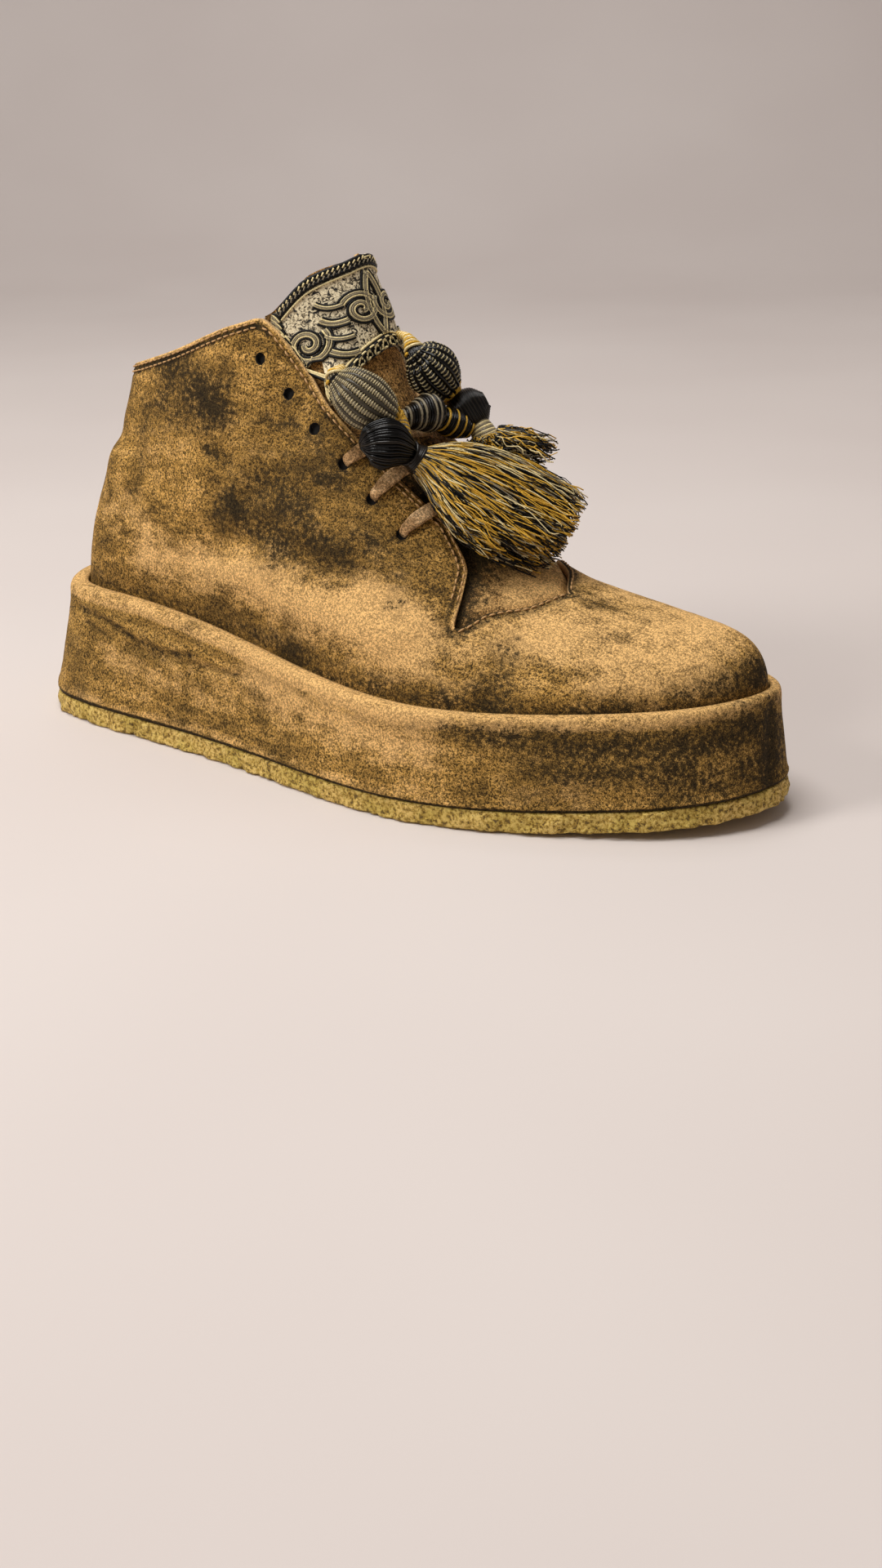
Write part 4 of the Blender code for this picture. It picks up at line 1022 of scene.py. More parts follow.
def add_hole_shadows(points, faces, kinds):
    """Painted shadow: a dark disc inside each hole, so that the hole reads black."""
    turns = full_turn(HOLE_SIDES)
    for centre, normal in zip(HOLES, HOLE_NORMALS):
        across = unit(np.cross(normal, (0.0, 0.0, 1.0)))
        ring = np.outer(np.cos(turns), across) + np.outer(np.sin(turns), np.cross(normal, across))
        faces.append(list(range(len(points), len(points) + len(turns))))
        floor = centre - HOLE_SHADOW_DEPTH * WALL * normal
        points = np.concatenate([points, floor + (EYELET_RADIUS + HOLE_SHADOW_REACH) * ring])
        kinds.append(IN_HOLE)
    return points, faces, kinds


def read_along(line, lengths, stops):
    return np.column_stack([np.interp(stops, lengths, line[:, k]) for k in range(3)])


def spaced_along(line, step):
    """Places a fixed step apart along a line, with the line's direction at each."""
    near = 0.2
    lengths = lengths_along(line)
    stops = np.arange(step / 2, lengths[-1], step)
    along = read_along(line, lengths, stops + near) - read_along(line, lengths, stops - near)
    return read_along(line, lengths, stops), unit(along)


def add_stitching(points, quads):
    """Sewn rows beside the collar, the facings and the throat seam, lying on the upper's surface."""
    tree = BVHTree.FromPolygons([Vector(p) for p in points], quads.tolist())
    threads = []
    for side in SIDES:
        for _, first, last, distances in STITCH_ROWS:
            line = edge_line(side, first, last)
            along = unit(np.gradient(line, axis=0))
            for distance in distances:
                row = []
                for place, ahead in zip(line, along):
                    _, normal, _, _ = tree.find_nearest(Vector(place))
                    inward = np.cross(ahead, np.array(normal)) * side
                    spot, _, _, _ = tree.find_nearest(Vector(place + distance * inward))
                    row.append(np.array(spot))
                threads += stitch_paths(np.array(row), tree)
    radii = np.tile(STITCH_RADIUS * np.array(STITCH_PROFILE), (len(threads), 1))
    add_piece("upper_stitching", "suede", (), *tubes(np.array(threads), radii, 6), (STITCH_THREAD,))


def stitch_paths(row, tree):
    """Short arched stitches along a row."""
    paths = []
    shares = np.linspace(-0.5, 0.5, len(STITCH_PROFILE))
    lift = STITCH_LIFT - STITCH_ARCH * shares**2
    for place, ahead in zip(*spaced_along(row, STITCH_LENGTH + STITCH_GAP)):
        _, normal, _, _ = tree.find_nearest(Vector(place))
        paths.append(place + np.outer(shares * STITCH_LENGTH, ahead) + np.outer(lift, np.array(normal)))
    return paths


# Platform, outsole and insole


def both_sides(side_line):
    """Closed loop from a line for each side: lateral toe to heel, then medial heel to toe."""
    return np.concatenate([side_line(LATERAL), side_line(MEDIAL)[-2:0:-1]])


def loop_of(station, points, inset=0.0):
    """Closed loop of plan points, drawn in by the inset."""
    return both_sides(lambda side: outline_at(points, station, side)
                      - inset * outline_normal(points, station, side))


def raised(plan, height):
    return np.column_stack([plan, height])


def cap_faces(points, ring, columns, height, flip):
    """Closes a loop with rows of quads from its lateral to its medial points."""
    total = len(ring)
    rows = []
    for i in range(total // 2 + 1):
        a = ring[i]
        b = ring[(total - i) % total]
        row = [a]
        for share in np.linspace(0, 1, columns + 1)[1:-1]:
            if a != b:
                x, y = (1 - share) * points[a][:2] + share * points[b][:2]
                points.append(np.array([x, y, float(height(x))]))
                row.append(len(points) - 1)
        rows.append(row + [b] if a != b else row)
    faces = []
    for near, far in zip(rows, rows[1:]):
        for k in range(columns):
            quad = [near[min(k, len(near) - 1)], far[min(k, len(far) - 1)],
                    far[min(k + 1, len(far) - 1)], near[min(k + 1, len(near) - 1)]]
            quad = list(dict.fromkeys(quad))
            faces.append(tuple(reversed(quad)) if flip else tuple(quad))
    return faces


def stacked_loops(loops, floor, ceiling, columns):
    """Solid through a stack of matching closed loops, lowest first."""
    points = list(np.concatenate(loops))
    count = len(loops[0])
    last = len(points) - count
    faces = []
    for level in range(len(loops) - 1):
        base = level * count
        for i in range(count):
            j = (i + 1) % count
            faces.append((base + i, base + j, base + count + j, base + count + i))
    faces += cap_faces(points, list(range(count)), columns, floor, True)
    faces += cap_faces(points, list(range(last, last + count)), columns, ceiling, False)
    return np.array(points), faces


# Paths of stations and levels that a wrinkle shares with the painted shade along it
HEEL_UPPER = ((0.893, 0.933), (0.825, 0.867), (0.785, 0.767), (0.74, 0.75), (0.70, 0.82))
HEEL_MIDDLE = ((0.80, 0.70), (0.754, 0.683), (0.714, 0.717), (0.669, 0.767), (0.621, 0.817))
HEEL_SHORT = ((0.87, 0.81), (0.83, 0.733))
TOE_CORNER = ((0.012, 1.0), (0.016, 0.52), (0.022, 0.06))
INNER_HEEL = ((0.90, 1.0), (0.84, 0.90), (0.77, 0.82), (0.70, 0.84))
INNER_WAIST = ((0.70, 0.62), (0.62, 0.58), (0.55, 0.63))
# Wrinkles of the platform's covering: a path of stations and levels up the side, half width and depth
# wrinkle, side, path, half width, depth
WRINKLES = (
    ("heel upper", LATERAL, HEEL_UPPER, 1.3, 1.0),
    ("heel middle", LATERAL, HEEL_MIDDLE, 1.2, 0.9),
    ("heel swell", LATERAL, ((0.852, 0.967), (0.80, 0.86), (0.75, 0.80), (0.68, 0.87)), 2.4, -0.6),
    ("heel short", LATERAL, HEEL_SHORT, 1.4, 0.6),
    ("heel top", LATERAL, ((0.86, 0.99), (0.786, 0.975), (0.72, 0.95)), 1.6, 0.4),
    ("waist", LATERAL, ((0.64, 0.62), (0.58, 0.60), (0.53, 0.64)), 3.0, 0.35),
    ("ball", LATERAL, ((0.44, 0.80), (0.38, 0.74), (0.33, 0.78)), 3.0, 0.35),
    ("toe corner", LATERAL, TOE_CORNER, 2.6, 0.7),
    ("toe swell", LATERAL, ((0.22, 0.55), (0.16, 0.50), (0.09, 0.50)), 6.0, -0.5),
    ("inner heel", MEDIAL, INNER_HEEL, 2.2, 0.5),
    ("inner waist", MEDIAL, INNER_WAIST, 2.6, 0.45),
    ("inner ball", MEDIAL, ((0.42, 0.74), (0.35, 0.70), (0.28, 0.76)), 3.0, 0.4),
    ("inner toe", MEDIAL, ((0.03, 1.0), (0.034, 0.5), (0.03, 0.1)), 2.6, 0.5),
)
# Darker places on the platform: dirt, painted shade in the wrinkles and painted shadow under the lip, as
# marked; a path of stations and levels, half width and strength
GRIME_AND_SHADE = (
    # Painted shade in the heel wrinkles
    ("heel upper", LATERAL, HEEL_UPPER, 1.15, 1.15),
    ("heel middle", LATERAL, HEEL_MIDDLE, 1.05, 1.1),
    ("heel short", LATERAL, HEEL_SHORT, 1.1, 0.9),
    ("heel patch", LATERAL, ((0.83, 0.84), (0.78, 0.79), (0.75, 0.70)), 4.0, 0.25),
    ("heel end", LATERAL, ((1.0, 0.75), (0.95, 0.45), (0.888, 0.5), (0.868, 0.167)), 7.0, 0.45),
    # Painted shadow under the lip at the toe
    ("lip shade", LATERAL, ((0.33, 1.0), (0.265, 0.96), (0.194, 0.86), (0.116, 0.84), (0.046, 0.88)),
     5.0, 0.70),
    ("toe streak", LATERAL, ((0.26, 0.54), (0.191, 0.49), (0.10, 0.48)), 3.2, 0.55),
    ("toe low", LATERAL, ((0.13, 0.18), (0.05, 0.25)), 4.0, 0.45),
    # Painted shade in the toe corner wrinkle
    ("toe corner", LATERAL, TOE_CORNER, 4.5, 0.75),
    ("toe front", LATERAL, ((0.03, 0.9), (0.0, 0.55), (0.03, 0.15)), 13.0, 0.32),
    ("toe side", LATERAL, ((0.24, 0.40), (0.06, 0.6)), 16.0, 0.50),
    # Painted shadow under the lip
    ("under lip", LATERAL, ((1.0, 0.97), (0.75, 0.97), (0.5, 0.97), (0.3, 0.97)), 2.2, 0.30),
    ("inner front", MEDIAL, ((0.0, 0.5), (0.05, 0.6), (0.11, 0.5)), 14.0, 0.60),
    # Painted shadow under the lip on the inner side
    ("inner lip", MEDIAL, ((0.05, 0.88), (0.18, 0.86), (0.32, 0.95)), 5.0, 0.60),
    # Painted shade in the inner wrinkles
    ("inner heel", MEDIAL, INNER_HEEL, 2.6, 0.55),
    ("inner streak", MEDIAL, INNER_WAIST, 3.0, 0.50),
)
# Rubbed light places on the platform, in the same columns
SCUFFS = (
    ("waist", LATERAL, ((0.60, 0.86), (0.44, 0.80), (0.36, 0.75)), 10.0, 0.85),
    ("heel", LATERAL, ((0.83, 0.55), (0.74, 0.50), (0.64, 0.55)), 7.0, 0.45),
    ("ball low", LATERAL, ((0.25, 0.37), (0.20, 0.30)), 6.0, 0.45),
    ("foot", LATERAL, ((0.90, 0.06), (0.60, 0.06), (0.30, 0.06)), 2.5, 0.45),
    ("inner waist", MEDIAL, ((0.60, 0.86), (0.46, 0.78), (0.36, 0.74)), 9.0, 0.50),
    ("inner heel", MEDIAL, ((0.83, 0.50), (0.70, 0.45)), 8.0, 0.40),
)
LIP_SQUARE = 0.62
WRAP_STEPS = 430
WRAP_LEVELS = 44
CREPE_STEPS = 520
CREPE_LEVELS = 10
CREPE_ROUND = 1.2
CREPE_INSET = 0.75
CREPE_FLARE = 0.5
CREPE_PIT_DEPTHS = (-0.4, 2.2)
CREPE_PITS = ((4.2, 0.85, 3), (1.9, 0.5, 4))
CREPE_LIFTS = ((2.4, 0.25, 6),)
CREPE_SOLE_INSET = 0.8
CREPE_SOLE_PITS = ((5.0, 1.1, 7),)
CREPE_SOLE_LIFTS = ((3.6, 0.5, 8), (7.0, 0.4, 9))
FLARE_POWER = 1.3
WRAP_STEP = 0.4
WALL_CLEARANCE = 0.45
LIP_REACH = 0.72
LIP_TURN = 100
LIP_RINGS = 11
WRAP_WAVES = ((26, 0.28, 11), (9, 0.16, 12), (3.5, 0.06, 13))
WRAP_DEPTHS = (-0.8, 1.5)
WRAP_CALM = 6
# Foot of the covering: height share, tuck, swell above it and darkening along it
WRAP_FOOT = 0.03
WRAP_FOOT_TUCK = 0.5
WRAP_FOOT_SWELL = (0.05, 0.03, 0.35)
WRAP_FOOT_DARK = 1.8
# Lighter top of the lip where it is not darkened: wear and painted highlight where the top light falls
LIP_WEAR_AND_HIGHLIGHT = 0.85
LIP_HIGHLIGHT_FROM = 0.80
LIP_CLEAN = 1.3
# Painted shade on the platform's faces hidden under the upper
HIDDEN_SHADE = 0.4


def wrap_side(station, level, side):
    """Point on the platform's side, from its foot at level 0 to its shoulder at level 1."""
    station = np.atleast_1d(np.asarray(station, float))
    level = np.atleast_1d(np.asarray(level, float))
    ground = outline_at(GROUND, station, side) - WRAP_STEP * outline_normal(GROUND, station, side)
    lip = outline_at(LIP, station, side)
    share = 1 - (1 - level)**FLARE_POWER
    plan = ground + (lip - ground) * share[:, None]
    foot = toe_spring(ground[:, 0]) + CREPE_THICK + GAP
    shoulder = lip_height(lip[:, 0]) + LIP_CROWN - LIP_ROUND
    return raised(plan, foot + (shoulder - foot) * level)


def make_platform():
    stations = np.linspace(0, 1, WRAP_STEPS + 1)
    lip = loop_of(stations, LIP)
    feather = loop_of(stations, FEATHER)
    lean = np.radians(both_sides(lambda side: rib_value("lean", stations)))
    shoulder = lip_height(lip[:, 0]) + LIP_CROWN - LIP_ROUND
    loops = []
    for level in np.linspace(0, 1, WRAP_LEVELS):
        loops.append(both_sides(lambda side: wrap_side(stations, np.full(stations.shape, level), side)))
    ledge = np.linalg.norm(feather - lip, axis=1)
    inward = (feather - lip) / ledge[:, None]
    crown_reach = ledge - SEAT_DEPTH * np.tan(lean) - WALL_CLEARANCE
    for turn in np.radians(np.linspace(0, LIP_TURN, LIP_RINGS + 1)[1:]):
        drawn = 1 - math.copysign(abs(math.cos(turn))**LIP_SQUARE, math.cos(turn))
        plan = lip + inward * (LIP_REACH * crown_reach * drawn)[:, None]
        loops.append(raised(plan, shoulder + LIP_ROUND * math.sin(turn)**LIP_SQUARE))
    outside = np.concatenate(loops)
    level = np.repeat(np.linspace(0, 1, len(loops)), len(lip))
    depth = stroke_field(outside, WRINKLES, wrap_side) + unevenness(outside, WRAP_WAVES)
    depth += WRAP_FOOT_TUCK * np.clip(1 - level / WRAP_FOOT, 0, 1)**2 - band(level, *WRAP_FOOT_SWELL)
    sideways = np.tile(inward, (len(loops), 1)) * np.clip((1 - level) * WRAP_CALM, 0, 1)[:, None]
    outside[:, :2] += sideways * np.clip(depth, *WRAP_DEPTHS)[:, None]
    loops = list(outside.reshape(len(loops), len(lip), 3))
    inner_top = lip + inward * crown_reach[:, None]
    loops.append(raised(inner_top, lip_height(inner_top[:, 0]) - WRAP_STEP))
    inner_foot = lip + inward * (ledge - WALL_CLEARANCE)[:, None]
    loops.append(raised(inner_foot, seat_height(inner_foot[:, 0])))
    points, faces = stacked_loops(loops, lambda x: toe_spring(x) + CREPE_THICK + GAP, seat_height,
                                  CAP_COLUMNS)
    hidden = len(points) - len(outside)
    # Dirt and painted shade on the covering
    grime_and_shade = stroke_field(outside, GRIME_AND_SHADE, wrap_side)
    worn = stroke_field(outside, SCUFFS, wrap_side)
    # Wear and painted highlight along the top of the lip
    worn += LIP_WEAR_AND_HIGHLIGHT * (level > LIP_HIGHLIGHT_FROM) * np.clip(LIP_CLEAN - grime_and_shade, 0, 1)
    # Darker band at the covering's foot, and painted shade on the hidden faces
    marks = {"stain": np.append(grime_and_shade + WRAP_FOOT_DARK * (level < WRAP_FOOT), np.full(hidden, HIDDEN_SHADE)),
             "worn": np.append(worn, np.zeros(hidden))}
    add_piece("platform_wrap", "platform_suede", ("platform",), points, faces, (PLATFORM_SUEDE,), None, marks)


def crepe_material():
    """Crinkled crepe rubber: yellow olive crumbs with dark pits."""
    shader = Shader("crepe_rubber", 0.62)
    patch = shader.noise(70, 3)
    crumb = shader.noise(760, 5, 0.66)
    grit = shader.noise(1700, 3, 0.6)
    colour = shader.ramp(crumb, (0.37, srgb(100, 74, 20)), (0.46, srgb(188, 150, 58)),
                         (0.57, srgb(238, 204, 118)))
    tone = shader.ramp(patch, (0.42, (1.0, 1.0, 1.0, 1)), (0.62, (0.82, 0.84, 0.62, 1)))
    colour = shader.mix(1.0, colour, tone, "MULTIPLY")
    colour = shader.mix(shader.step(grit, 0.60, 0.70), colour, srgb(70, 52, 20))
    coarse = shader.bump(crumb, 0.9, 0.0012)
    return shader.finish(colour, shader.bump(grit, 0.5, 0.0004, coarse))


def make_outsole():
    stations = np.linspace(0, 1, CREPE_STEPS + 1)
    full = loop_of(stations, GROUND)
    drawn_in = loop_of(stations, GROUND, CREPE_ROUND)
    base = toe_spring(full[:, 0])
    outward = (full - drawn_in) / CREPE_ROUND
    sole = raised(drawn_in, toe_spring(drawn_in[:, 0]))
    sole[:, :2] -= outward * (CREPE_SOLE_INSET + unevenness(sole, CREPE_SOLE_PITS))[:, None]
    sole[:, 2] += np.clip(unevenness(sole, CREPE_SOLE_LIFTS), 0, 1)
    loops = [sole]
    for height in np.linspace(0.5 * CREPE_ROUND, CREPE_THICK - 0.4 * CREPE_ROUND, CREPE_LEVELS):
        level = raised(full, base + height)
        pit = CREPE_INSET + unevenness(level, CREPE_PITS) - CREPE_FLARE * (1 - height / CREPE_THICK)
        level[:, :2] -= outward * np.clip(pit, *CREPE_PIT_DEPTHS)[:, None]
        level[:, 2] += unevenness(level, CREPE_LIFTS)
        loops.append(level)
    loops.append(raised(drawn_in, toe_spring(drawn_in[:, 0]) + CREPE_THICK))
    solid = stacked_loops(loops, toe_spring, lambda x: toe_spring(x) + CREPE_THICK, CAP_COLUMNS)
    add_piece("crepe_outsole", "crepe", ("outsole",), *solid, (crepe_material(),))


def make_insole():
    plan = loop_of(np.linspace(0, 1, INSOLE_STEPS + 1), FEATHER, WALL + 2 * GAP)
    base = seat_height(plan[:, 0]) + GAP
    loops = [raised(plan, base), raised(plan, base + INSOLE_THICK)]
    solid = stacked_loops(loops, lambda x: seat_height(x) + GAP,
                          lambda x: seat_height(x) + GAP + INSOLE_THICK, 2 * CAP_COLUMNS)
    leather = plain_grain("insole_leather", srgb(168, 126, 74), 0.7)
    add_piece("insole_bed", "insole_leather", ("insole",), *solid, (leather,))


# Tongue


def tongue_depth(station):
    """Depth of the tongue's face below the upper's outside."""
    return np.interp(station, TONGUE_DEPTH_STATIONS, (TONGUE_DEPTH_FRONT, TONGUE_DEPTH_TOP))


# Where the tongue rises at the throat: stations and shares of the rise
THROAT_RISE = {LATERAL: ((0.31, 0.37, 0.44), (1.0, 0.40, 0.0)),
               MEDIAL: ((0.37, 0.42, 0.48), (1.0, 0.40, 0.0))}
THROAT_DEPTH, THROAT_LINE, THROAT_CLIMB = 0.9, 0.2, 2.0
TONGUE_EVEN_FROM, TONGUE_EVEN_OVER = 0.48, 0.06
TONGUE_WAVES = ((8, 0.22, 21), (3, 0.10, 22))
# Marks across the tongue: place, width and strength. The first two are painted shadow under the tassel skirt,
# the second on the outer side only; the third is painted shade where the tongue runs under the upper's edge;
# the last is wear
TONGUE_SKIRT_SHADOW = (0.42, 0.05, 1.0)
TONGUE_SHADE = (0.392, 0.045, 1.9)
TONGUE_EDGE_SHADE = (0.5, 1.5, 0.5)
TONGUE_WORN = (0.30, 0.045, 1.05)


def relax(points, quads, rounds):
    """Evens out a sheet, with its rim held."""
    edges = np.unique(np.sort(quad_edges(quads), axis=1), axis=0)
    count = np.bincount(edges.ravel(), minlength=len(points))[:, None]
    free = np.ones(len(points), bool)
    free[np.unique(rim_edges(quads))] = False
    for _ in range(rounds):
        total = np.zeros(points.shape)
        np.add.at(total, edges[:, 0], points[edges[:, 1]])
        np.add.at(total, edges[:, 1], points[edges[:, 0]])
        points = np.where(free[:, None], (1 - RELAX_SHARE) * points + RELAX_SHARE * total / count, points)
    return points


def make_tongue():
    stations = spread_stations(TONGUE_COLUMNS, TONGUE_REACH[0][1])
    reach = monotone(stations, *columns_of(TONGUE_REACH, 1, 2))
    spans = {side: (height_at_gap(stations, reach, side), np.ones(stations.shape)) for side in SIDES}
    points, quads, places = sheet_over_last(stations, spans, np.linspace(0, 1, TONGUE_ROWS + 1))
    normals = quad_normals(points, quads)
    station = places[:, 0]
    outer_side = places[:, 2] == LATERAL
    edge = edge_distance(points, TONGUE_COLUMNS[-1][0])
    rise = np.where(outer_side, *(np.interp(station, *THROAT_RISE[side]) for side in SIDES))
    rise *= above_edge(places, stations) * ease(np.clip((edge - THROAT_LINE) / THROAT_CLIMB, 0, 1))
    depth = tongue_depth(station)
    depth = depth - rise * (depth - THROAT_DEPTH) + unevenness(points, TONGUE_WAVES)
    outer = relax(points - normals * depth[:, None], quads, 6)
    high = np.clip((station - TONGUE_EVEN_FROM) / TONGUE_EVEN_OVER, 0, 1)[:, None]
    outer = outer * (1 - high) + relax(outer, quads, SMOOTH_ROUNDS) * high
    solid, faces, walls = thicken(outer, outer - normals * TONGUE_THICK, quads)
    # Painted shadow under the tassel skirt and painted shade under the upper's edge
    stain = band(station, *TONGUE_SKIRT_SHADOW) + band(edge, *TONGUE_EDGE_SHADE)
    stain += outer_side * band(station, *TONGUE_SHADE)
    marks = {"stain": np.tile(stain, 2), "worn": np.tile(band(station, *TONGUE_WORN), 2)}
    add_piece("tongue_skin", "tongue_suede", ("tongue",), solid, faces, (TONGUE_SUEDE, LINING, RAW_EDGE),
              sheet_kinds(quads, walls), marks)


# Ribbon

RIBBON_RISE = np.array((-0.35, 0.0, 0.937))
RIBBON_FRONT = np.array((0.937, 0.0, 0.35))
RIBBON_ROUND = 26.0
# Shades of thread
BLACK, CHARCOAL, GREY, CREAM, GOLD = SHADES = (0.0, 0.25, 0.5, 0.75, 1.0)
SOOT, MID_GREY, LIGHT_GREY = 0.3, 0.56, 0.62
# Scrolls: place from the middle, size and start
RIBBON_VOLUTES = ((22.0, 6.6, 0.5), (5.0, 5.6, 2.6))
SCROLL_BROAD, SCROLL_FINE = 0.95, 0.5
# Threads of a scroll: share of its reach, distance more, radius, shade and lift
SCROLL_THREADS = ((-1, -0.3, 0.45, BLACK, 0.3), (1, 0.3, 0.45, BLACK, 0.3), (-0.62, 0, 0.34, CREAM, 0.45),
                  (0, 0, 0.34, GREY, 0.5), (0.62, 0, 0.34, LIGHT_GREY, 0.45))
# Threads below the ribbon's top edge: drop, radius and shade; stitches over them: drop and shade
SELVAGE_THREADS = ((0.6, 0.75, BLACK), (1.8, 0.7, CHARCOAL), (3.0, 0.7, BLACK), (4.3, 0.35, CREAM))
SELVAGE_STITCHES = ((1.2, CREAM), (2.5, GREY))
# Threads above its lower edge, under the looped gimp: rise and shade
GIMP_GROUND = ((0.5, BLACK), (1.4, BLACK), (2.3, CHARCOAL), (3.2, BLACK), (4.4, BLACK), (5.2, CREAM))
GIMP_LOOPS, GIMP_STEPS = 20, 20
RIBBON_STEPS = 150


class RibbonFace:
    """Face of the ribbon read by distance round the ankle and share of the band's height."""

    def __init__(self, points, quads, shown):
        self.tree = BVHTree.FromPolygons([Vector(p) for p in points], quads.tolist())
        self.axis = points.mean(axis=0) - RIBBON_ROUND * RIBBON_FRONT
        across, up = self.flat(points[shown])
        self.grid = np.linspace(across.min() + 0.5, across.max() - 0.5, 61)
        near = [up[np.abs(across - place) < 1.6] for place in self.grid]
        self.low = self.even([values.min() for values in near])
        self.high = self.even([values.max() for values in near])

    @staticmethod
    def even(values, window=5):
        """Running mean."""
        return np.convolve(np.pad(values, window // 2, mode="edge"), np.ones(window) / window, "valid")

    def flat(self, points):
        away = points - self.axis
        return RIBBON_ROUND * np.arctan2(away[:, 1], away @ RIBBON_FRONT), away @ RIBBON_RISE

    def edges(self, across):
        return np.interp(across, self.grid, self.low), np.interp(across, self.grid, self.high)

    def height(self, across, share):
        """Distance up the band at a share of its height."""
        low, high = self.edges(across)
        return low + share * (high - low)

    def at(self, across, up, lift):
        """Points on the face at distances round and up the band; each is found along a ray from the axis."""
        spots = []
        for a, b in zip(across, up):
            turn = a / RIBBON_ROUND
            way = RIBBON_FRONT * math.cos(turn) + np.array((0.0, math.sin(turn), 0.0))
            start = self.axis + RIBBON_RISE * b
            hit, normal, _, _ = self.tree.ray_cast(Vector(start), Vector(way))
            if hit is None:
                hit, normal, _, _ = self.tree.find_nearest(Vector(start + way * RIBBON_ROUND))
            normal = np.array(normal)
            spots.append(np.array(hit) + (lift if normal @ way > 0 else -lift) * normal)
        return np.array(spots)


def volute(centre, size, turns, start, hand, steps=44):
    """Spiral in across and up millimetres, from its outer end to its eye."""
    t = np.linspace(0, 1, steps)
    radius = size * (1 - 0.86 * t)
    angle = start + hand * 2 * np.pi * turns * t
    return np.column_stack([centre[0] + radius * np.cos(angle), centre[1] + radius * np.sin(angle)])


def arch(first, last, bulge, steps=24):
    """Bowed line between two places in across and up millimetres."""
    t = np.linspace(0, 1, steps)[:, None]
    first, last = np.array(first, float), np.array(last, float)
    side = unit(np.array((-(last - first)[1], (last - first)[0])))
    return first + (last - first) * t + side * bulge * 4 * t * (1 - t)


def scroll_lines(face):
    """Design of scrolls and leaves, repeated mirrored on the inner side; each line is broad or fine."""
    lines = []
    for hand in SIDES:
        for place, size, start in RIBBON_VOLUTES:
            centre = (hand * place, face.height(hand * place, 0.50))
            lines.append((volute(centre, size, 1.6, start, hand), True))
        for step in range(4):
            lift = face.height(hand * 13.0, 0.24 + 0.15 * step)
            leaf = arch((hand * 9.5, lift - 1.0), (hand * 16.5, lift + 1.6), -hand * 1.1)
            lines.append((leaf, step % 2 == 0))
        for step in range(3):
            foot = face.height(hand * 31.0, 0.16 + 0.22 * step)
            lines.append((arch((hand * 28.5, foot), (hand * 35.0, foot + 5.5), hand * 1.4), True))
    foot, top = face.height(0.0, 0.16), face.height(0.0, 0.82)
    return lines + [(arch((0.0, foot), (0.0, top), bulge), True) for bulge in (-2.6, 2.6)]


def beside(line, gap):
    """Line moved sideways."""
    along = unit(np.gradient(line, axis=0))
    return line + gap * np.column_stack([-along[:, 1], along[:, 0]])


def add_ribbon_threads(points, quads, shown):
    """Embroidered scrolls, the dark selvage along the top and the looped gimp along the lower edge."""
    face = RibbonFace(points, quads, shown)
    bundle = Bundle()
    for line, broad in scroll_lines(face):
        reach = SCROLL_BROAD if broad else SCROLL_FINE
        for share, more, radius, shade, lift in SCROLL_THREADS:
            bundle.line(face.at(*beside(line, share * reach + more).T, lift), radius, shade)
    span = np.linspace(face.grid[2], face.grid[-3], RIBBON_STEPS)
    low, high = face.edges(span)
    for drop, radius, shade in SELVAGE_THREADS:
        bundle.line(face.at(span, high - drop, 0.35), radius, shade)
    for drop, shade in SELVAGE_STITCHES:
        for start in range(2, RIBBON_STEPS - 2, 4):
            part = slice(start, start + 3)
            slant = high[part] - drop + np.array((-0.5, 0.0, 0.5))
            bundle.line(face.at(span[part], slant, 1.0), 0.3, shade, 5)
    for phase, shade in ((0.0, CREAM), (3.1, BLACK)):
        turn = np.linspace(0, 2 * np.pi * GIMP_LOOPS, GIMP_STEPS * GIMP_LOOPS)
        across = np.linspace(face.grid[1], face.grid[-2], len(turn)) + 1.5 * np.sin(turn + phase)
        foot, _ = face.edges(across)
        bundle.line(face.at(across, foot + 2.2 + 1.8 * np.cos(turn + phase), 0.8), 0.42, shade, 5)
    for rise, shade in GIMP_GROUND:
        bundle.line(face.at(span, low + rise, 0.3), 0.45, shade, 5)
    thread = thread_material("ribbon_thread", 0.5, Specular_IOR_Level=0.25)
    bundle.add_piece("ribbon_design", "ribbon_weave", (), (thread,))


def ribbon_ground():
    """Woven ground: cream threads broken by dark flecks."""
    shader = Shader("ribbon_ground", 0.6)
    fleck = shader.noise(620, 3, 0.6, None, 1.6)
    weave = shader.noise(2600, 2, 0.6)
    colour = shader.ramp(fleck, (0.41, srgb(12, 10, 8)), (0.465, srgb(160, 144, 112)),
                         (0.53, srgb(244, 228, 190)))
    colour = shader.mix(1.0, colour, shader.levels(weave, (0.3, 0.7), (0.7, 1.25)), "MULTIPLY")
    return shader.finish(colour, shader.bump(weave, 0.5, 0.0003, shader.bump(fleck, 0.5, 0.0005)))


def make_ribbon():
    stations = spread_stations(RIBBON_COLUMNS, RIBBON_REACH[0][1])
    reach = monotone(stations, *columns_of(RIBBON_REACH, 1, 2))
    below_top = np.where(stations > RIBBON_TOP_STATION + STATION_NEAR, RIBBON_BELOW_TOP, 0.0)
    spans = {}
    for side in SIDES:
        tucked = edge_height(stations, side) - RIBBON_TUCK
        bottom = np.maximum(height_at_gap(stations, reach, side), tucked)
        top = height_at_gap(stations, below_top, side)
        spans[side] = (np.minimum(bottom, top - RIBBON_TUCK), top)
    points, quads, places = sheet_over_last(stations, spans, np.linspace(0, 1, RIBBON_ROWS + 1))
    normals = quad_normals(points, quads)
    outer = relax(points - normals * RIBBON_DEPTH, quads, SMOOTH_ROUNDS)
    solid, faces, _ = thicken(outer, outer - normals * RIBBON_THICK, quads)
    add_piece("ribbon_band", "ribbon_weave", ("ribbon",), solid, faces, (ribbon_ground(),))
    add_ribbon_threads(outer, quads, above_edge(places, stations))


# Laces

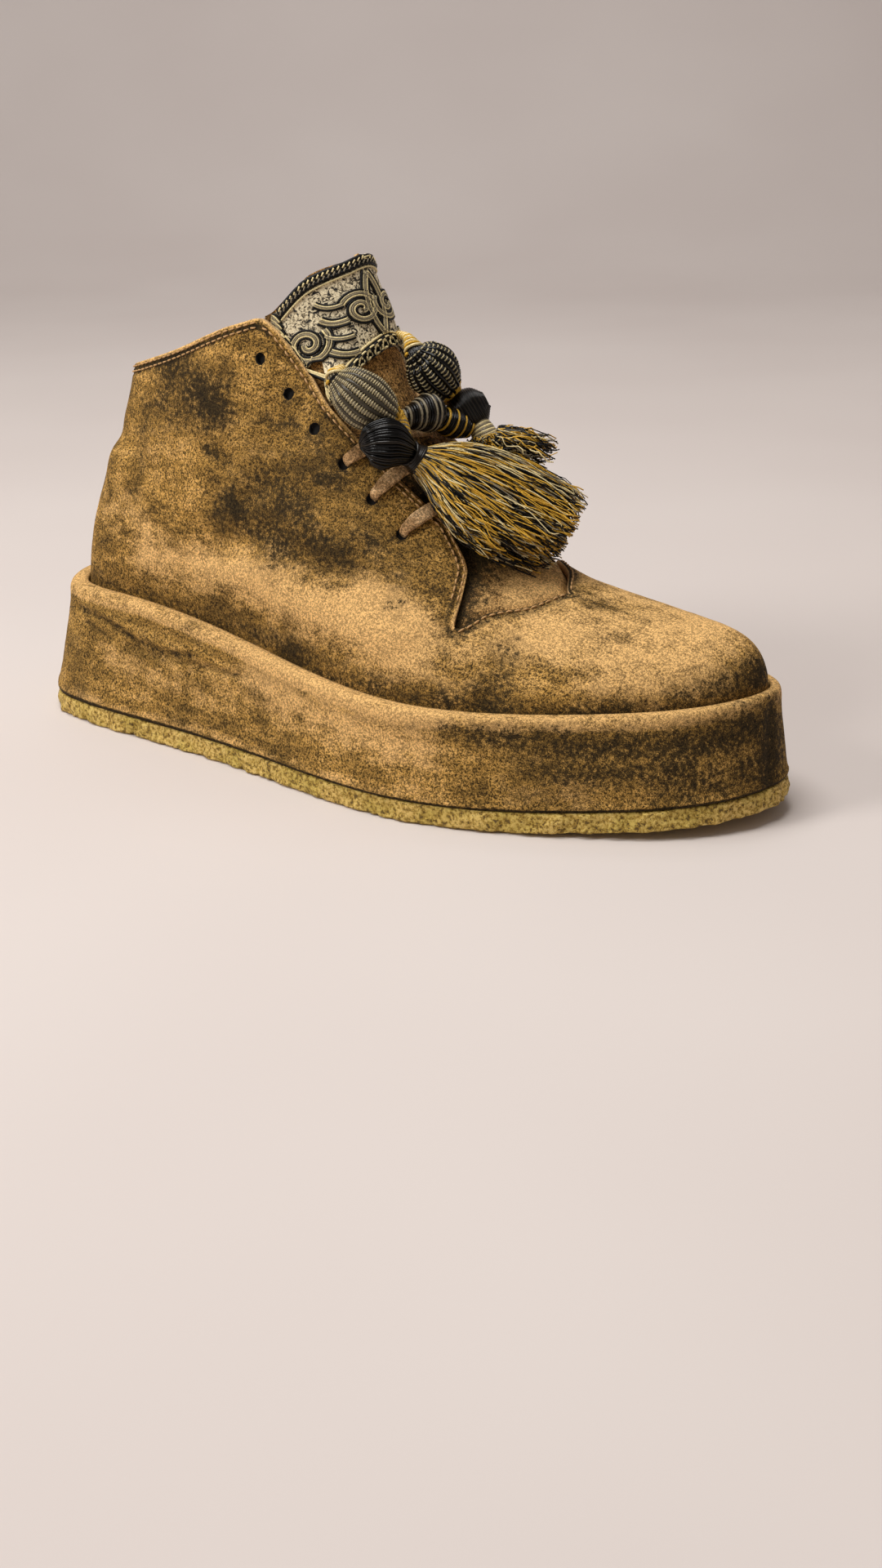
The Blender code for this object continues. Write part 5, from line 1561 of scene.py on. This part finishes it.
# Lace bars: row of holes they join, counted from the top, and how far the middle shifts along the shoe
# bar, holes, shift, power of the bow towards the middle
LACE_BARS = (
    ("high", 4, -0.060, 1.5),
    ("mid", 5, -0.040, 1.1),
    ("low", 6, -0.028, 1.15),
)
# Lace risers between bars, as shares of half a bar, lateral negative
# riser, upper bar, upper share, lower bar, lower share
LACE_RISERS = (
    ("lower", 1, -0.55, 2, 0.45),
    ("upper", 0, -0.55, 1, 0.45),
)
LACE_EDGE_SHARE = 0.6
LACE_REACH = 0.955
LACE_STEPS = 40
LACE_TAPER = 0.62
LACE_SINK = 4.5
LACE_RING_SIDES = 16
LACE_SQUARE = 0.6
LACE_OVERRUN = 0.9
LACE_TAPER_FROM = 2.5
LACE_TAPER_OVER = 7.0
LACE_WAVES = ((1.6, 0.12, 5),)
RISER_STEPS = 12


def bow(share, power):
    """Share of a bar's shift reached at a place across it."""
    return 1 - (share**2 + 0.01)**(power / 2)


def lace_point(station, drop, share):
    """Middle of the lace and the way off the shoe; drop is the signed v below the rib's top."""
    side = LATERAL if drop < 0 else MEDIAL
    v = min(1 - abs(drop), 1 - STATION_NEAR)
    normal = last_normal(station, v, side)[0]
    within = min(abs(share) / LACE_EDGE_SHARE, 1.0)
    ride = LACE_RIDE - LACE_DIP * (0.5 + 0.5 * math.cos(math.pi * within))
    return last_surface(station, v, side)[0] + ride * normal, normal


def flat_strip(path, out, half_width):
    """Flat strip with round edges along a path; out points off the shoe."""
    tangent = np.gradient(path, axis=0)
    across = unit(np.cross(tangent, out))
    off = unit(np.cross(across, tangent))
    turns = full_turn(LACE_RING_SIDES)
    wide = np.sign(np.cos(turns)) * np.abs(np.cos(turns))**LACE_SQUARE
    thick = np.sign(np.sin(turns)) * np.abs(np.sin(turns))**LACE_SQUARE
    ring = (across[:, None, :] * (wide[:, None] * half_width[:, None, None])
            + off[:, None, :] * (thick[:, None] * LACE_HALF_THICK))
    return skin_rings((path[:, None, :] + ring)[None], False)


def bar_place(bar, share):
    """Station, signed v below the rib's top and share of a place across a bar."""
    _, holes, shift, power = LACE_BARS[bar]
    station, v = EYELETS[holes - 1]
    return np.array([station + shift * bow(share, power), share * (1 - v), share])


def make_laces():
    """Flat suede lace: bars across the throat that dive into the holes, joined by risers over the tongue."""
    shares = LACE_REACH * np.linspace(-1, 1, LACE_STEPS + 1)
    lines = [([bar_place(bar, share) for share in shares], True) for bar in range(len(LACE_BARS))]
    for _, upper_bar, upper_share, lower_bar, lower_share in LACE_RISERS:
        first, last = bar_place(upper_bar, upper_share), bar_place(lower_bar, lower_share)
        lines.append(([first * (1 - t) + last * t for t in np.linspace(0, 1, RISER_STEPS + 1)], False))
    points, faces = [], []
    for line, dives in lines:
        path, out = (np.array(values) for values in zip(*[lace_point(*row) for row in line]))
        width = np.full(len(path), LACE_HALF_WIDTH)
        if dives:
            path, out, width = dive_into_holes(path, out)
        strip, sides = flat_strip(path, out, width)
        start = sum(len(p) for p in points)
        points.append(strip)
        faces += [[start + i for i in face] for face in sides]
    points = np.concatenate(points)
    points += unevenness(points, LACE_WAVES)[:, None]
    lace = suede("lace_suede", (srgb(122, 92, 58), srgb(176, 138, 94), srgb(214, 178, 132)), False, 0.6, 0.6)
    add_piece("lace_run", "lace_suede", ("laces",), points, faces, (lace,))


def dive_into_holes(path, out):
    """Bends both ends of a bar down into its holes, narrowing as it goes in."""
    turns = np.radians((35, 70, 90))[:, None]
    ends = []
    for end, inner in ((0, 1), (-1, -2)):
        along = unit(path[end] - path[inner])
        sunk = out[end] * LACE_SINK * (1 - np.cos(turns))
        ends.append(path[end] + along * LACE_OVERRUN * np.sin(turns) - sunk)
    path = np.concatenate([ends[0][::-1], path, ends[1]])
    out = np.pad(out, ((len(turns), len(turns)), (0, 0)), mode="edge")
    steps = np.linalg.norm(np.gradient(path, axis=0), axis=1)
    length = np.concatenate([[0.0], np.cumsum(steps[1:])])
    from_end = np.minimum(length, length[-1] - length)
    wide = np.clip((from_end - LACE_TAPER_FROM) / LACE_TAPER_OVER, 0, 1)
    return path, out, LACE_HALF_WIDTH * (LACE_TAPER + (1 - LACE_TAPER) * wide)


# Tassels

# Tassel strands: middle line, half sizes across and off the shoe
# section, x, y, z, half width, half thickness
LATERAL_BEAD = (
    ("hanger", -3.8, -16.4, 137.0, 1.0, 0.9),
    ("cord", 0.5, -22.5, 137.8, 1.2, 1.2),
    ("bead top", 2.5, -28.0, 135.9, 3.5, 3.5),
    ("bead upper", 6.0, -26.6, 133.2, 7.6, 7.4),
    ("bead middle", 11.2, -24.2, 128.6, 9.3, 9.0),
    ("bead lower", 15.8, -21.3, 124.6, 7.4, 7.2),
    ("bead foot", 19.1, -17.8, 121.1, 3.2, 3.2),
    ("link", 22.5, -20.0, 117.0, 2.8, 2.8),
    ("link foot", 25.0, -22.0, 114.0, 2.4, 2.4),
)
LATERAL_SKIRT = (
    ("head top", 15.4, -34.0, 116.2, 1.5, 1.5),
    ("head upper", 18.2, -31.8, 116.7, 7.2, 7.2),
    ("head middle", 22.0, -28.2, 116.2, 9.2, 9.2),
    ("head lower", 24.7, -24.2, 114.2, 6.6, 6.6),
    ("neck", 26.0, -20.2, 111.8, 3.8, 3.8),
    ("skirt root", 28.6, -18.0, 109.4, 5.2, 4.6),
    ("skirt upper", 35.0, -12.2, 104.6, 12.0, 6.4),
    ("skirt middle", 42.7, -6.3, 98.7, 16.5, 7.4),
    ("skirt lower", 52.6, -0.2, 91.9, 19.0, 7.6),
    ("skirt hem", 63.6, 5.4, 85.4, 19.5, 7.2),
    ("skirt end", 69.2, 8.0, 82.3, 18.5, 6.8),
)
LATERAL_COIL = (
    ("loop", 18.8, -17.0, 121.2, 2.2, 2.2),
    ("coil start", 21.3, -10.8, 122.2, 4.2, 4.2),
    ("coil middle", 23.0, -4.6, 122.6, 6.2, 6.2),
    ("coil end", 23.8, 0.9, 122.1, 2.4, 2.4),
)
MEDIAL_STRAND = (
    ("hanger", 1.9, 9.6, 145.1, 1.0, 0.9),
    ("cord", 7.5, 6.0, 145.0, 1.2, 1.2),
    ("bead top", 13.2, 2.0, 141.4, 3.4, 3.4),
    ("bead upper", 15.2, 4.2, 138.2, 7.6, 7.4),
    ("bead middle", 17.0, 7.0, 134.5, 9.3, 9.0),
    ("bead lower", 18.6, 10.7, 129.8, 7.2, 7.0),
    ("bead foot", 19.6, 14.8, 125.0, 3.2, 3.2),
    ("link", 26.5, 16.0, 118.0, 3.2, 3.2),
    ("neck", 31.0, 16.0, 113.5, 3.8, 3.8),
    ("skirt root", 32.8, 16.3, 110.4, 5.0, 4.4),
    ("skirt middle", 43.4, 21.0, 105.6, 7.5, 6.0),
    ("skirt hem", 55.4, 29.0, 100.5, 8.5, 6.5),
)
MEDIAL_BARREL = (
    ("barrel start", 20.6, 11.2, 116.6, 3.0, 3.0),
    ("barrel quarter", 22.6, 13.6, 118.0, 6.3, 6.3),
    ("barrel middle", 24.6, 16.3, 119.8, 7.2, 7.2),
    ("barrel far", 27.0, 18.8, 121.8, 6.3, 6.3),
    ("barrel end", 29.1, 20.9, 123.4, 2.6, 2.6),
)
TASSEL_KNOT = (
    ("knot start", 22.0, 1.0, 120.0, 3.0, 3.0),
    ("knot middle", 24.5, 6.5, 117.5, 4.6, 4.6),
    ("knot end", 27.5, 12.5, 115.0, 3.0, 3.0),
)
TASSEL_OUT = np.array((0.70, -0.20, 0.68))
TURN_STEPS = 24
SKIRT_STEPS = 18
BEAD_RIB_STEPS, BEAD_ROWS, BEAD_WEAVE = 26, 32, 0.62
HEAD_THREADS, HEAD_STEPS, HEAD_SWIRL = 46, 30, 0.35
# Rounding of a skirt's hem on its low and high side: lift and power
HEM_LOW_SIDE, HEM_HIGH_SIDE = (2.2, 1.0), (1.3, 2.5)
SKIRT_TUCK, SKIRT_BELLY, SKIRT_SAG = 0.45, 0.16, 0.06
# Share of each shade in a skirt
LONG_SKIRT_ODDS = (0.38, 0.06, 0.04, 0.17, 0.35)
SHORT_SKIRT_ODDS = (0.38, 0.10, 0.06, 0.14, 0.32)


class Strand:
    """Middle line of a strand with its frame and half sizes, read at any place between its rows."""

    def __init__(self, rows):
        self.names = [row[0] for row in rows]
        table = np.array([row[1:6] for row in rows], float)
        index = np.arange(len(rows), dtype=float)
        self.fine = np.linspace(0, len(rows) - 1, 60 * (len(rows) - 1) + 1)
        values = np.column_stack([monotone(self.fine, index, table[:, k], True, True) for k in range(5)])
        tangent = np.gradient(values[:, :3], axis=0)
        across = unit(np.cross(tangent, TASSEL_OUT))
        self.columns = np.column_stack([values, across, unit(np.cross(across, tangent))])

    def place(self, name):
        return float(self.names.index(name))

    def at(self, places):
        """Centre, half sizes and the two side directions at these places."""
        flat = np.ravel(places)
        rows = np.column_stack([np.interp(flat, self.fine, c) for c in self.columns.T])
        rows = rows.reshape(np.shape(places) + (rows.shape[1],))
        return rows[..., :3], rows[..., 3:5], rows[..., 5:8], rows[..., 8:11]

    def slim(self, places):
        """Smaller half size at these places."""
        return self.at(places)[1].min(axis=-1)

    def skin(self, places, turns, lift=0.0, share=1.0):
        """Points on the strand's skin, turned round its middle line."""
        centre, half, across, off = self.at(places)
        reach = half * np.asarray(share)[..., None] + np.asarray(lift)[..., None]
        return (centre + across * (np.cos(turns) * reach[..., 0])[..., None]
                + off * (np.sin(turns) * reach[..., 1])[..., None])


class Bundle:
    """Threads collected into one mesh, each with its own shade."""

    def __init__(self):
        self.points, self.faces, self.shades, self.kinds = [], [], [], []
        self.count = 0

    def add(self, paths, radii, shades, sides=5, kind=0):
        paths = np.asarray(paths, float)
        radii = np.broadcast_to(np.asarray(radii, float), paths.shape[:2])
        points, faces = tubes(paths, radii, sides)
        self.points.append(points)
        self.faces += [[self.count + i for i in face] for face in faces]
        self.count += len(points)
        self.kinds += [kind] * len(faces)
        self.shades.append(np.repeat(np.asarray(shades, float), paths.shape[1] * sides))

    def line(self, path, radii, shade, sides=6):
        """Adds a single thread."""
        self.add(path[None], radii, [shade], sides)

    def add_piece(self, name, slot, nodes, materials):
        add_piece(name, slot, nodes, np.concatenate(self.points), self.faces, materials, self.kinds,
                  {"shade": np.concatenate(self.shades)})


def thread_material(name, roughness, **sockets):
    """Thread in the tassel's colours, picked by each thread's shade."""
    shader = Shader(name, roughness, **sockets)
    colour = shader.ramp(shader.attribute("shade"), (BLACK, srgb(5, 4, 3)), (CHARCOAL, srgb(32, 27, 21)),
                         (GREY, srgb(138, 127, 104)), (CREAM, srgb(238, 218, 162)),
                         (GOLD, srgb(220, 172, 62)))
    fleck = shader.noise(2200, 2, 0.6)
    colour = shader.mix(1.0, colour, shader.levels(fleck, (0.3, 0.6), (0.7, 1.2)), "MULTIPLY")
    return shader.finish(colour, shader.bump(fleck, 0.35, 0.0002))


TASSEL_SATIN = thread_material("tassel_satin", 0.12, Specular_IOR_Level=0.24)
TASSEL_MATTE = thread_material("tassel_thread", 0.32, Specular_IOR_Level=0.3)


def add_core(bundle, strand, start, end, share):
    """Dark body inside the threads, so that nothing shows through them; inside a loose skirt, which has no
    core, it is painted shade between the threads.
    """
    places = np.linspace(start, end, 14)
    bundle.line(strand.at(places)[0], strand.slim(places) * share, BLACK, 14)


def add_netted_bead(bundle, strand, shades, gold_share, ribs):
    """Egg covered with lengthwise threads and rows of short stitches that pass over and under them."""
    start = strand.place("bead top") - 0.25
    end = strand.place("bead foot") + 0.1
    add_core(bundle, strand, start, end, 0.88)
    turns = full_turn(ribs)
    places = np.linspace(start, end, BEAD_RIB_STEPS)
    paths = strand.skin(np.tile(places, (ribs, 1)), np.repeat(turns[:, None], BEAD_RIB_STEPS, axis=1), -0.75)
    radii = np.clip(strand.slim(places) * 3.0 / ribs, 0.25, 0.85)
    bundle.add(paths, np.tile(radii, (ribs, 1)), np.where(np.arange(ribs) % 2, shades[0], shades[1]))
    steps = ribs * 5 + 1
    round_turns = np.linspace(0, 2 * np.pi, steps)
    weave = BEAD_WEAVE * np.cos(round_turns * ribs / 2)
    for row, place in enumerate(np.linspace(start + 0.45, end - 0.3, BEAD_ROWS)):
        shade = GOLD if row >= BEAD_ROWS * (1 - gold_share) else shades[2 + row % 2]
        bundle.line(strand.skin(np.full(steps, place), round_turns, -0.6 + weave), 0.30, shade, 4)
    knot = np.linspace(end - 0.35, end + 0.15, 60)
    bundle.line(strand.skin(knot, np.linspace(0, 10 * np.pi, 60), 0.2), 0.5, GOLD)


def add_winding(bundle, strand, start, end, turns_count, radius, shades, lift=0.0):
    """Threads wound round a strand, turn beside turn."""
    steps = TURN_STEPS * turns_count // len(shades)
    places = np.linspace(start, end, steps)
    for number, shade in enumerate(shades):
        phase = 2 * np.pi * number / len(shades)
        turns = np.linspace(0, 2 * np.pi * turns_count / len(shades), steps) + phase
        bundle.line(strand.skin(places, turns, lift), radius, shade)


def add_head(bundle, strand):
    """Round head of smooth threads laid lengthwise, gathered under the neck band."""
    start = strand.place("head top")
    end = strand.place("neck") + 0.1
    add_core(bundle, strand, start, end, 0.80)
    numbers = np.arange(HEAD_THREADS)
    turns = full_turn(HEAD_THREADS)
    places = np.linspace(start, end, HEAD_STEPS)
    swirl = HEAD_SWIRL * np.linspace(0, 1, HEAD_STEPS)
    ripple = 0.25 * np.sin(numbers * 2.4)[:, None]
    paths = strand.skin(np.tile(places, (HEAD_THREADS, 1)), turns[:, None] + swirl, ripple - 0.5, 0.9)
    radii = np.clip(strand.slim(places) * 0.066, 0.18, 0.6)
    bundle.add(paths, np.tile(radii, (HEAD_THREADS, 1)), np.where(numbers % 6 == 0, CHARCOAL, BLACK), 6)


def add_skirt(bundle, strand, hem, threads, odds, rng, spread, curl):
    """Loose threads from the neck to a rounded, uneven hem, most of them near the skirt's skin."""
    root = strand.place("skirt root")
    # Black body inside the skirt: painted shade between its loose threads
    add_core(bundle, strand, root - 0.4, hem - 0.9, 0.66)
    shells = np.where(rng.random(threads) < 0.6, 1.0, np.sqrt(rng.random(threads)))
    turns = rng.random(threads) * 2 * np.pi
    low_side = np.cos(turns) > 0
    lift, power = np.where(low_side, np.array(HEM_LOW_SIDE)[:, None], np.array(HEM_HIGH_SIDE)[:, None])
    ends = hem - lift * np.abs(np.cos(turns))**power * shells + rng.normal(0, 0.10, threads)
    t = np.linspace(0, 1, SKIRT_STEPS)
    places = (root - SKIRT_TUCK) + (ends - root + SKIRT_TUCK)[:, None] * t
    sag = np.clip(np.cos(turns), 0, 1)[:, None] * t
    share = shells[:, None] * (1.0 + SKIRT_BELLY * np.sin(np.pi * t) + SKIRT_SAG * sag)
    wander = turns[:, None] + (rng.normal(0, 0.22, threads)[:, None] * t
                               + rng.normal(0, 0.06, threads)[:, None] * np.sin(7 * t + turns[:, None]))
    reach = np.abs(rng.normal(0, spread, threads))[:, None] * t**2
    paths = strand.skin(np.minimum(places, hem), wander, reach, share)
    phase = rng.random((threads, 3)) * 2 * np.pi
    rate = rng.uniform(1.2, 4.0, (threads, 3))
    wave = np.sin(phase[:, None, :] + 2 * np.pi * rate[:, None, :] * t[None, :, None])
    paths += curl * wave * t[None, :, None]
    shades = rng.choice(SHADES, threads, p=odds)
    bundle.add(paths, rng.uniform(0.15, 0.25, threads)[:, None], shades, 4, 1)


def add_tassel_piece(name, bundle, node):
    bundle.add_piece(name, node + "_thread", (node,), (TASSEL_SATIN, TASSEL_MATTE))


def make_tassels():
    """Thread tassels with netted eggs, a smooth head, wound coil and barrel, and loose skirts."""
    rng = np.random.default_rng(11)
    bead, skirt = Strand(LATERAL_BEAD), Strand(LATERAL_SKIRT)
    coil, knot = Strand(LATERAL_COIL), Strand(TASSEL_KNOT)
    bundle = Bundle()
    add_winding(bundle, bead, 0.0, 2.0, 14, 0.5, (GOLD, CREAM))
    add_netted_bead(bundle, bead, (SOOT, GREY, LIGHT_GREY, MID_GREY), 0.14, 30)
    link = bead.place("bead foot"), bead.place("link foot")
    add_winding(bundle, bead, *link, 14, 0.6, (GOLD, GREY))
    add_core(bundle, bead, *link, 0.9)
    add_head(bundle, skirt)
    neck = skirt.place("neck") - 0.25, skirt.place("skirt root") - 0.1
    add_winding(bundle, skirt, *neck, 9, 0.62, (CHARCOAL,), 0.1)
    add_core(bundle, coil, 0.0, 3.0, 0.9)
    add_winding(bundle, coil, 0.3, 3.0, 22, 0.5, (BLACK, GREY, CHARCOAL, BLACK, CHARCOAL, GREY), -0.1)
    add_core(bundle, knot, 0.0, 2.0, 0.9)
    add_winding(bundle, knot, 0.0, 2.0, 16, 0.5, (BLACK, GOLD, BLACK, CHARCOAL))
    add_tassel_piece("tassel_lateral_threads", bundle, "tassel_lateral")
    bundle = Bundle()
    add_skirt(bundle, skirt, skirt.place("skirt end"), 1150, LONG_SKIRT_ODDS, rng, 1.1, 0.9)
    add_tassel_piece("tassel_lateral_skirt", bundle, "tassel_lateral")
    strand, barrel = Strand(MEDIAL_STRAND), Strand(MEDIAL_BARREL)
    bundle = Bundle()
    add_winding(bundle, strand, 0.0, 2.0, 14, 0.5, (GOLD, CREAM))
    add_netted_bead(bundle, strand, (BLACK, CHARCOAL, LIGHT_GREY, BLACK), 0.2, 26)
    link = strand.place("bead foot"), strand.place("skirt root")
    add_winding(bundle, strand, *link, 26, 0.6, (CREAM, GREY))
    add_core(bundle, strand, *link, 0.9)
    add_core(bundle, barrel, 0.0, 4.0, 0.95)
    add_winding(bundle, barrel, 0.0, 4.0, 24, 0.5, (BLACK, CHARCOAL), 0.1)
    add_skirt(bundle, strand, strand.place("skirt hem") - 0.35, 520, SHORT_SKIRT_ODDS, rng, 1.2, 1.0)
    add_tassel_piece("tassel_medial_threads", bundle, "tassel_medial")


# Camera, light and stage

CAMERA_PLACE = (381.6, -538.7, 238.7)
CAMERA_YAW, CAMERA_PITCH, CAMERA_ROLL = 33.74, 21.1, -1.13
CAMERA_LENS_MM = 44.4
SENSOR_MM = 36.0
FLOOR_HALF, FLOOR_BEND, FLOOR_BACK = 3.0, 0.8, 1.3


def make_camera():
    yaw, pitch, roll = (math.radians(a) for a in (CAMERA_YAW, CAMERA_PITCH, CAMERA_ROLL))
    back = Vector((math.sin(yaw) * math.cos(pitch), -math.cos(yaw) * math.cos(pitch), math.sin(pitch)))
    level = Vector((math.cos(yaw), math.sin(yaw), 0.0))
    upright = back.cross(level)
    right = math.cos(roll) * level + math.sin(roll) * upright
    up = math.cos(roll) * upright - math.sin(roll) * level
    data = bpy.data.cameras.new("camera")
    data.lens = CAMERA_LENS_MM
    data.sensor_width = SENSOR_MM
    camera = bpy.data.objects.new("camera", data)
    bpy.context.scene.collection.objects.link(camera)
    camera.matrix_world = Matrix.Translation((Vector(CAMERA_PLACE) - Vector(CENTRE)) * MM) @ Matrix(
        (right, up, back)).transposed().to_4x4()
    bpy.context.scene.camera = camera


def add_area_light(name, place, target, size, power, colour):
    data = bpy.data.lights.new(name, "AREA")
    data.shape = "DISK"
    data.size = size
    data.energy = power
    data.color = colour
    light = bpy.data.objects.new(name, data)
    bpy.context.scene.collection.objects.link(light)
    light.location = place
    light.rotation_euler = (Vector(target) - Vector(place)).to_track_quat("-Z", "Y").to_euler()


def make_stage():
    """Pale floor that curves up into a backdrop, and soft studio light."""
    scene = bpy.context.scene
    scene.world = bpy.data.worlds.new("studio")
    scene.world.use_nodes = True
    background = scene.world.node_tree.nodes["Background"].inputs
    background["Color"].default_value = srgb(206, 198, 194)
    background["Strength"].default_value = 0.42
    scene.view_settings.view_transform = "Standard"
    away = Vector((-math.sin(math.radians(CAMERA_YAW)), math.cos(math.radians(CAMERA_YAW)), 0.0))
    up = Vector((0.0, 0.0, 1.0))
    add_area_light("top", (-0.15, -0.20, 1.5), 0.06 * up, 0.9, 17, (1.0, 0.985, 0.965))
    add_area_light("key", (-0.7, -1.1, 0.95), 0.06 * up, 0.5, 11, (1.0, 0.985, 0.96))
    add_area_light("backdrop", 0.9 * away + 2.0 * up, 2.1 * away + 0.7 * up, 1.2, 8, (1.0, 0.985, 0.98))
    half, bend, back_y = FLOOR_HALF, FLOOR_BEND, FLOOR_BACK
    profile = [(-half, 0.0), (back_y, 0.0)]
    for angle in np.linspace(0, math.pi / 2, 17)[1:]:
        profile.append((back_y + bend * math.sin(angle), bend * (1 - math.cos(angle))))
    profile.append((back_y + bend, half))
    points = [(x, y, z) for y, z in profile for x in (-half, half)]
    faces = [(2 * k, 2 * k + 1, 2 * k + 3, 2 * k + 2) for k in range(len(profile) - 1)]
    mesh = bpy.data.meshes.new("floor")
    mesh.from_pydata(points, [], faces)
    mesh.shade_smooth()
    mesh.materials.append(plain_floor())
    floor = bpy.data.objects.new("floor", mesh)
    scene.collection.objects.link(floor)
    floor.rotation_euler = (0, 0, math.radians(CAMERA_YAW))


def plain_floor():
    shader = Shader("floor_paper", 0.8)
    tone = shader.noise(3, 2)
    colour = shader.ramp(tone, (0.3, srgb(206, 196, 191)), (0.7, srgb(212, 203, 198)))
    return shader.finish(colour)


make_camera()
make_stage()
make_upper()
make_platform()
make_outsole()
make_insole()
make_tongue()
make_ribbon()
make_laces()
make_tassels()
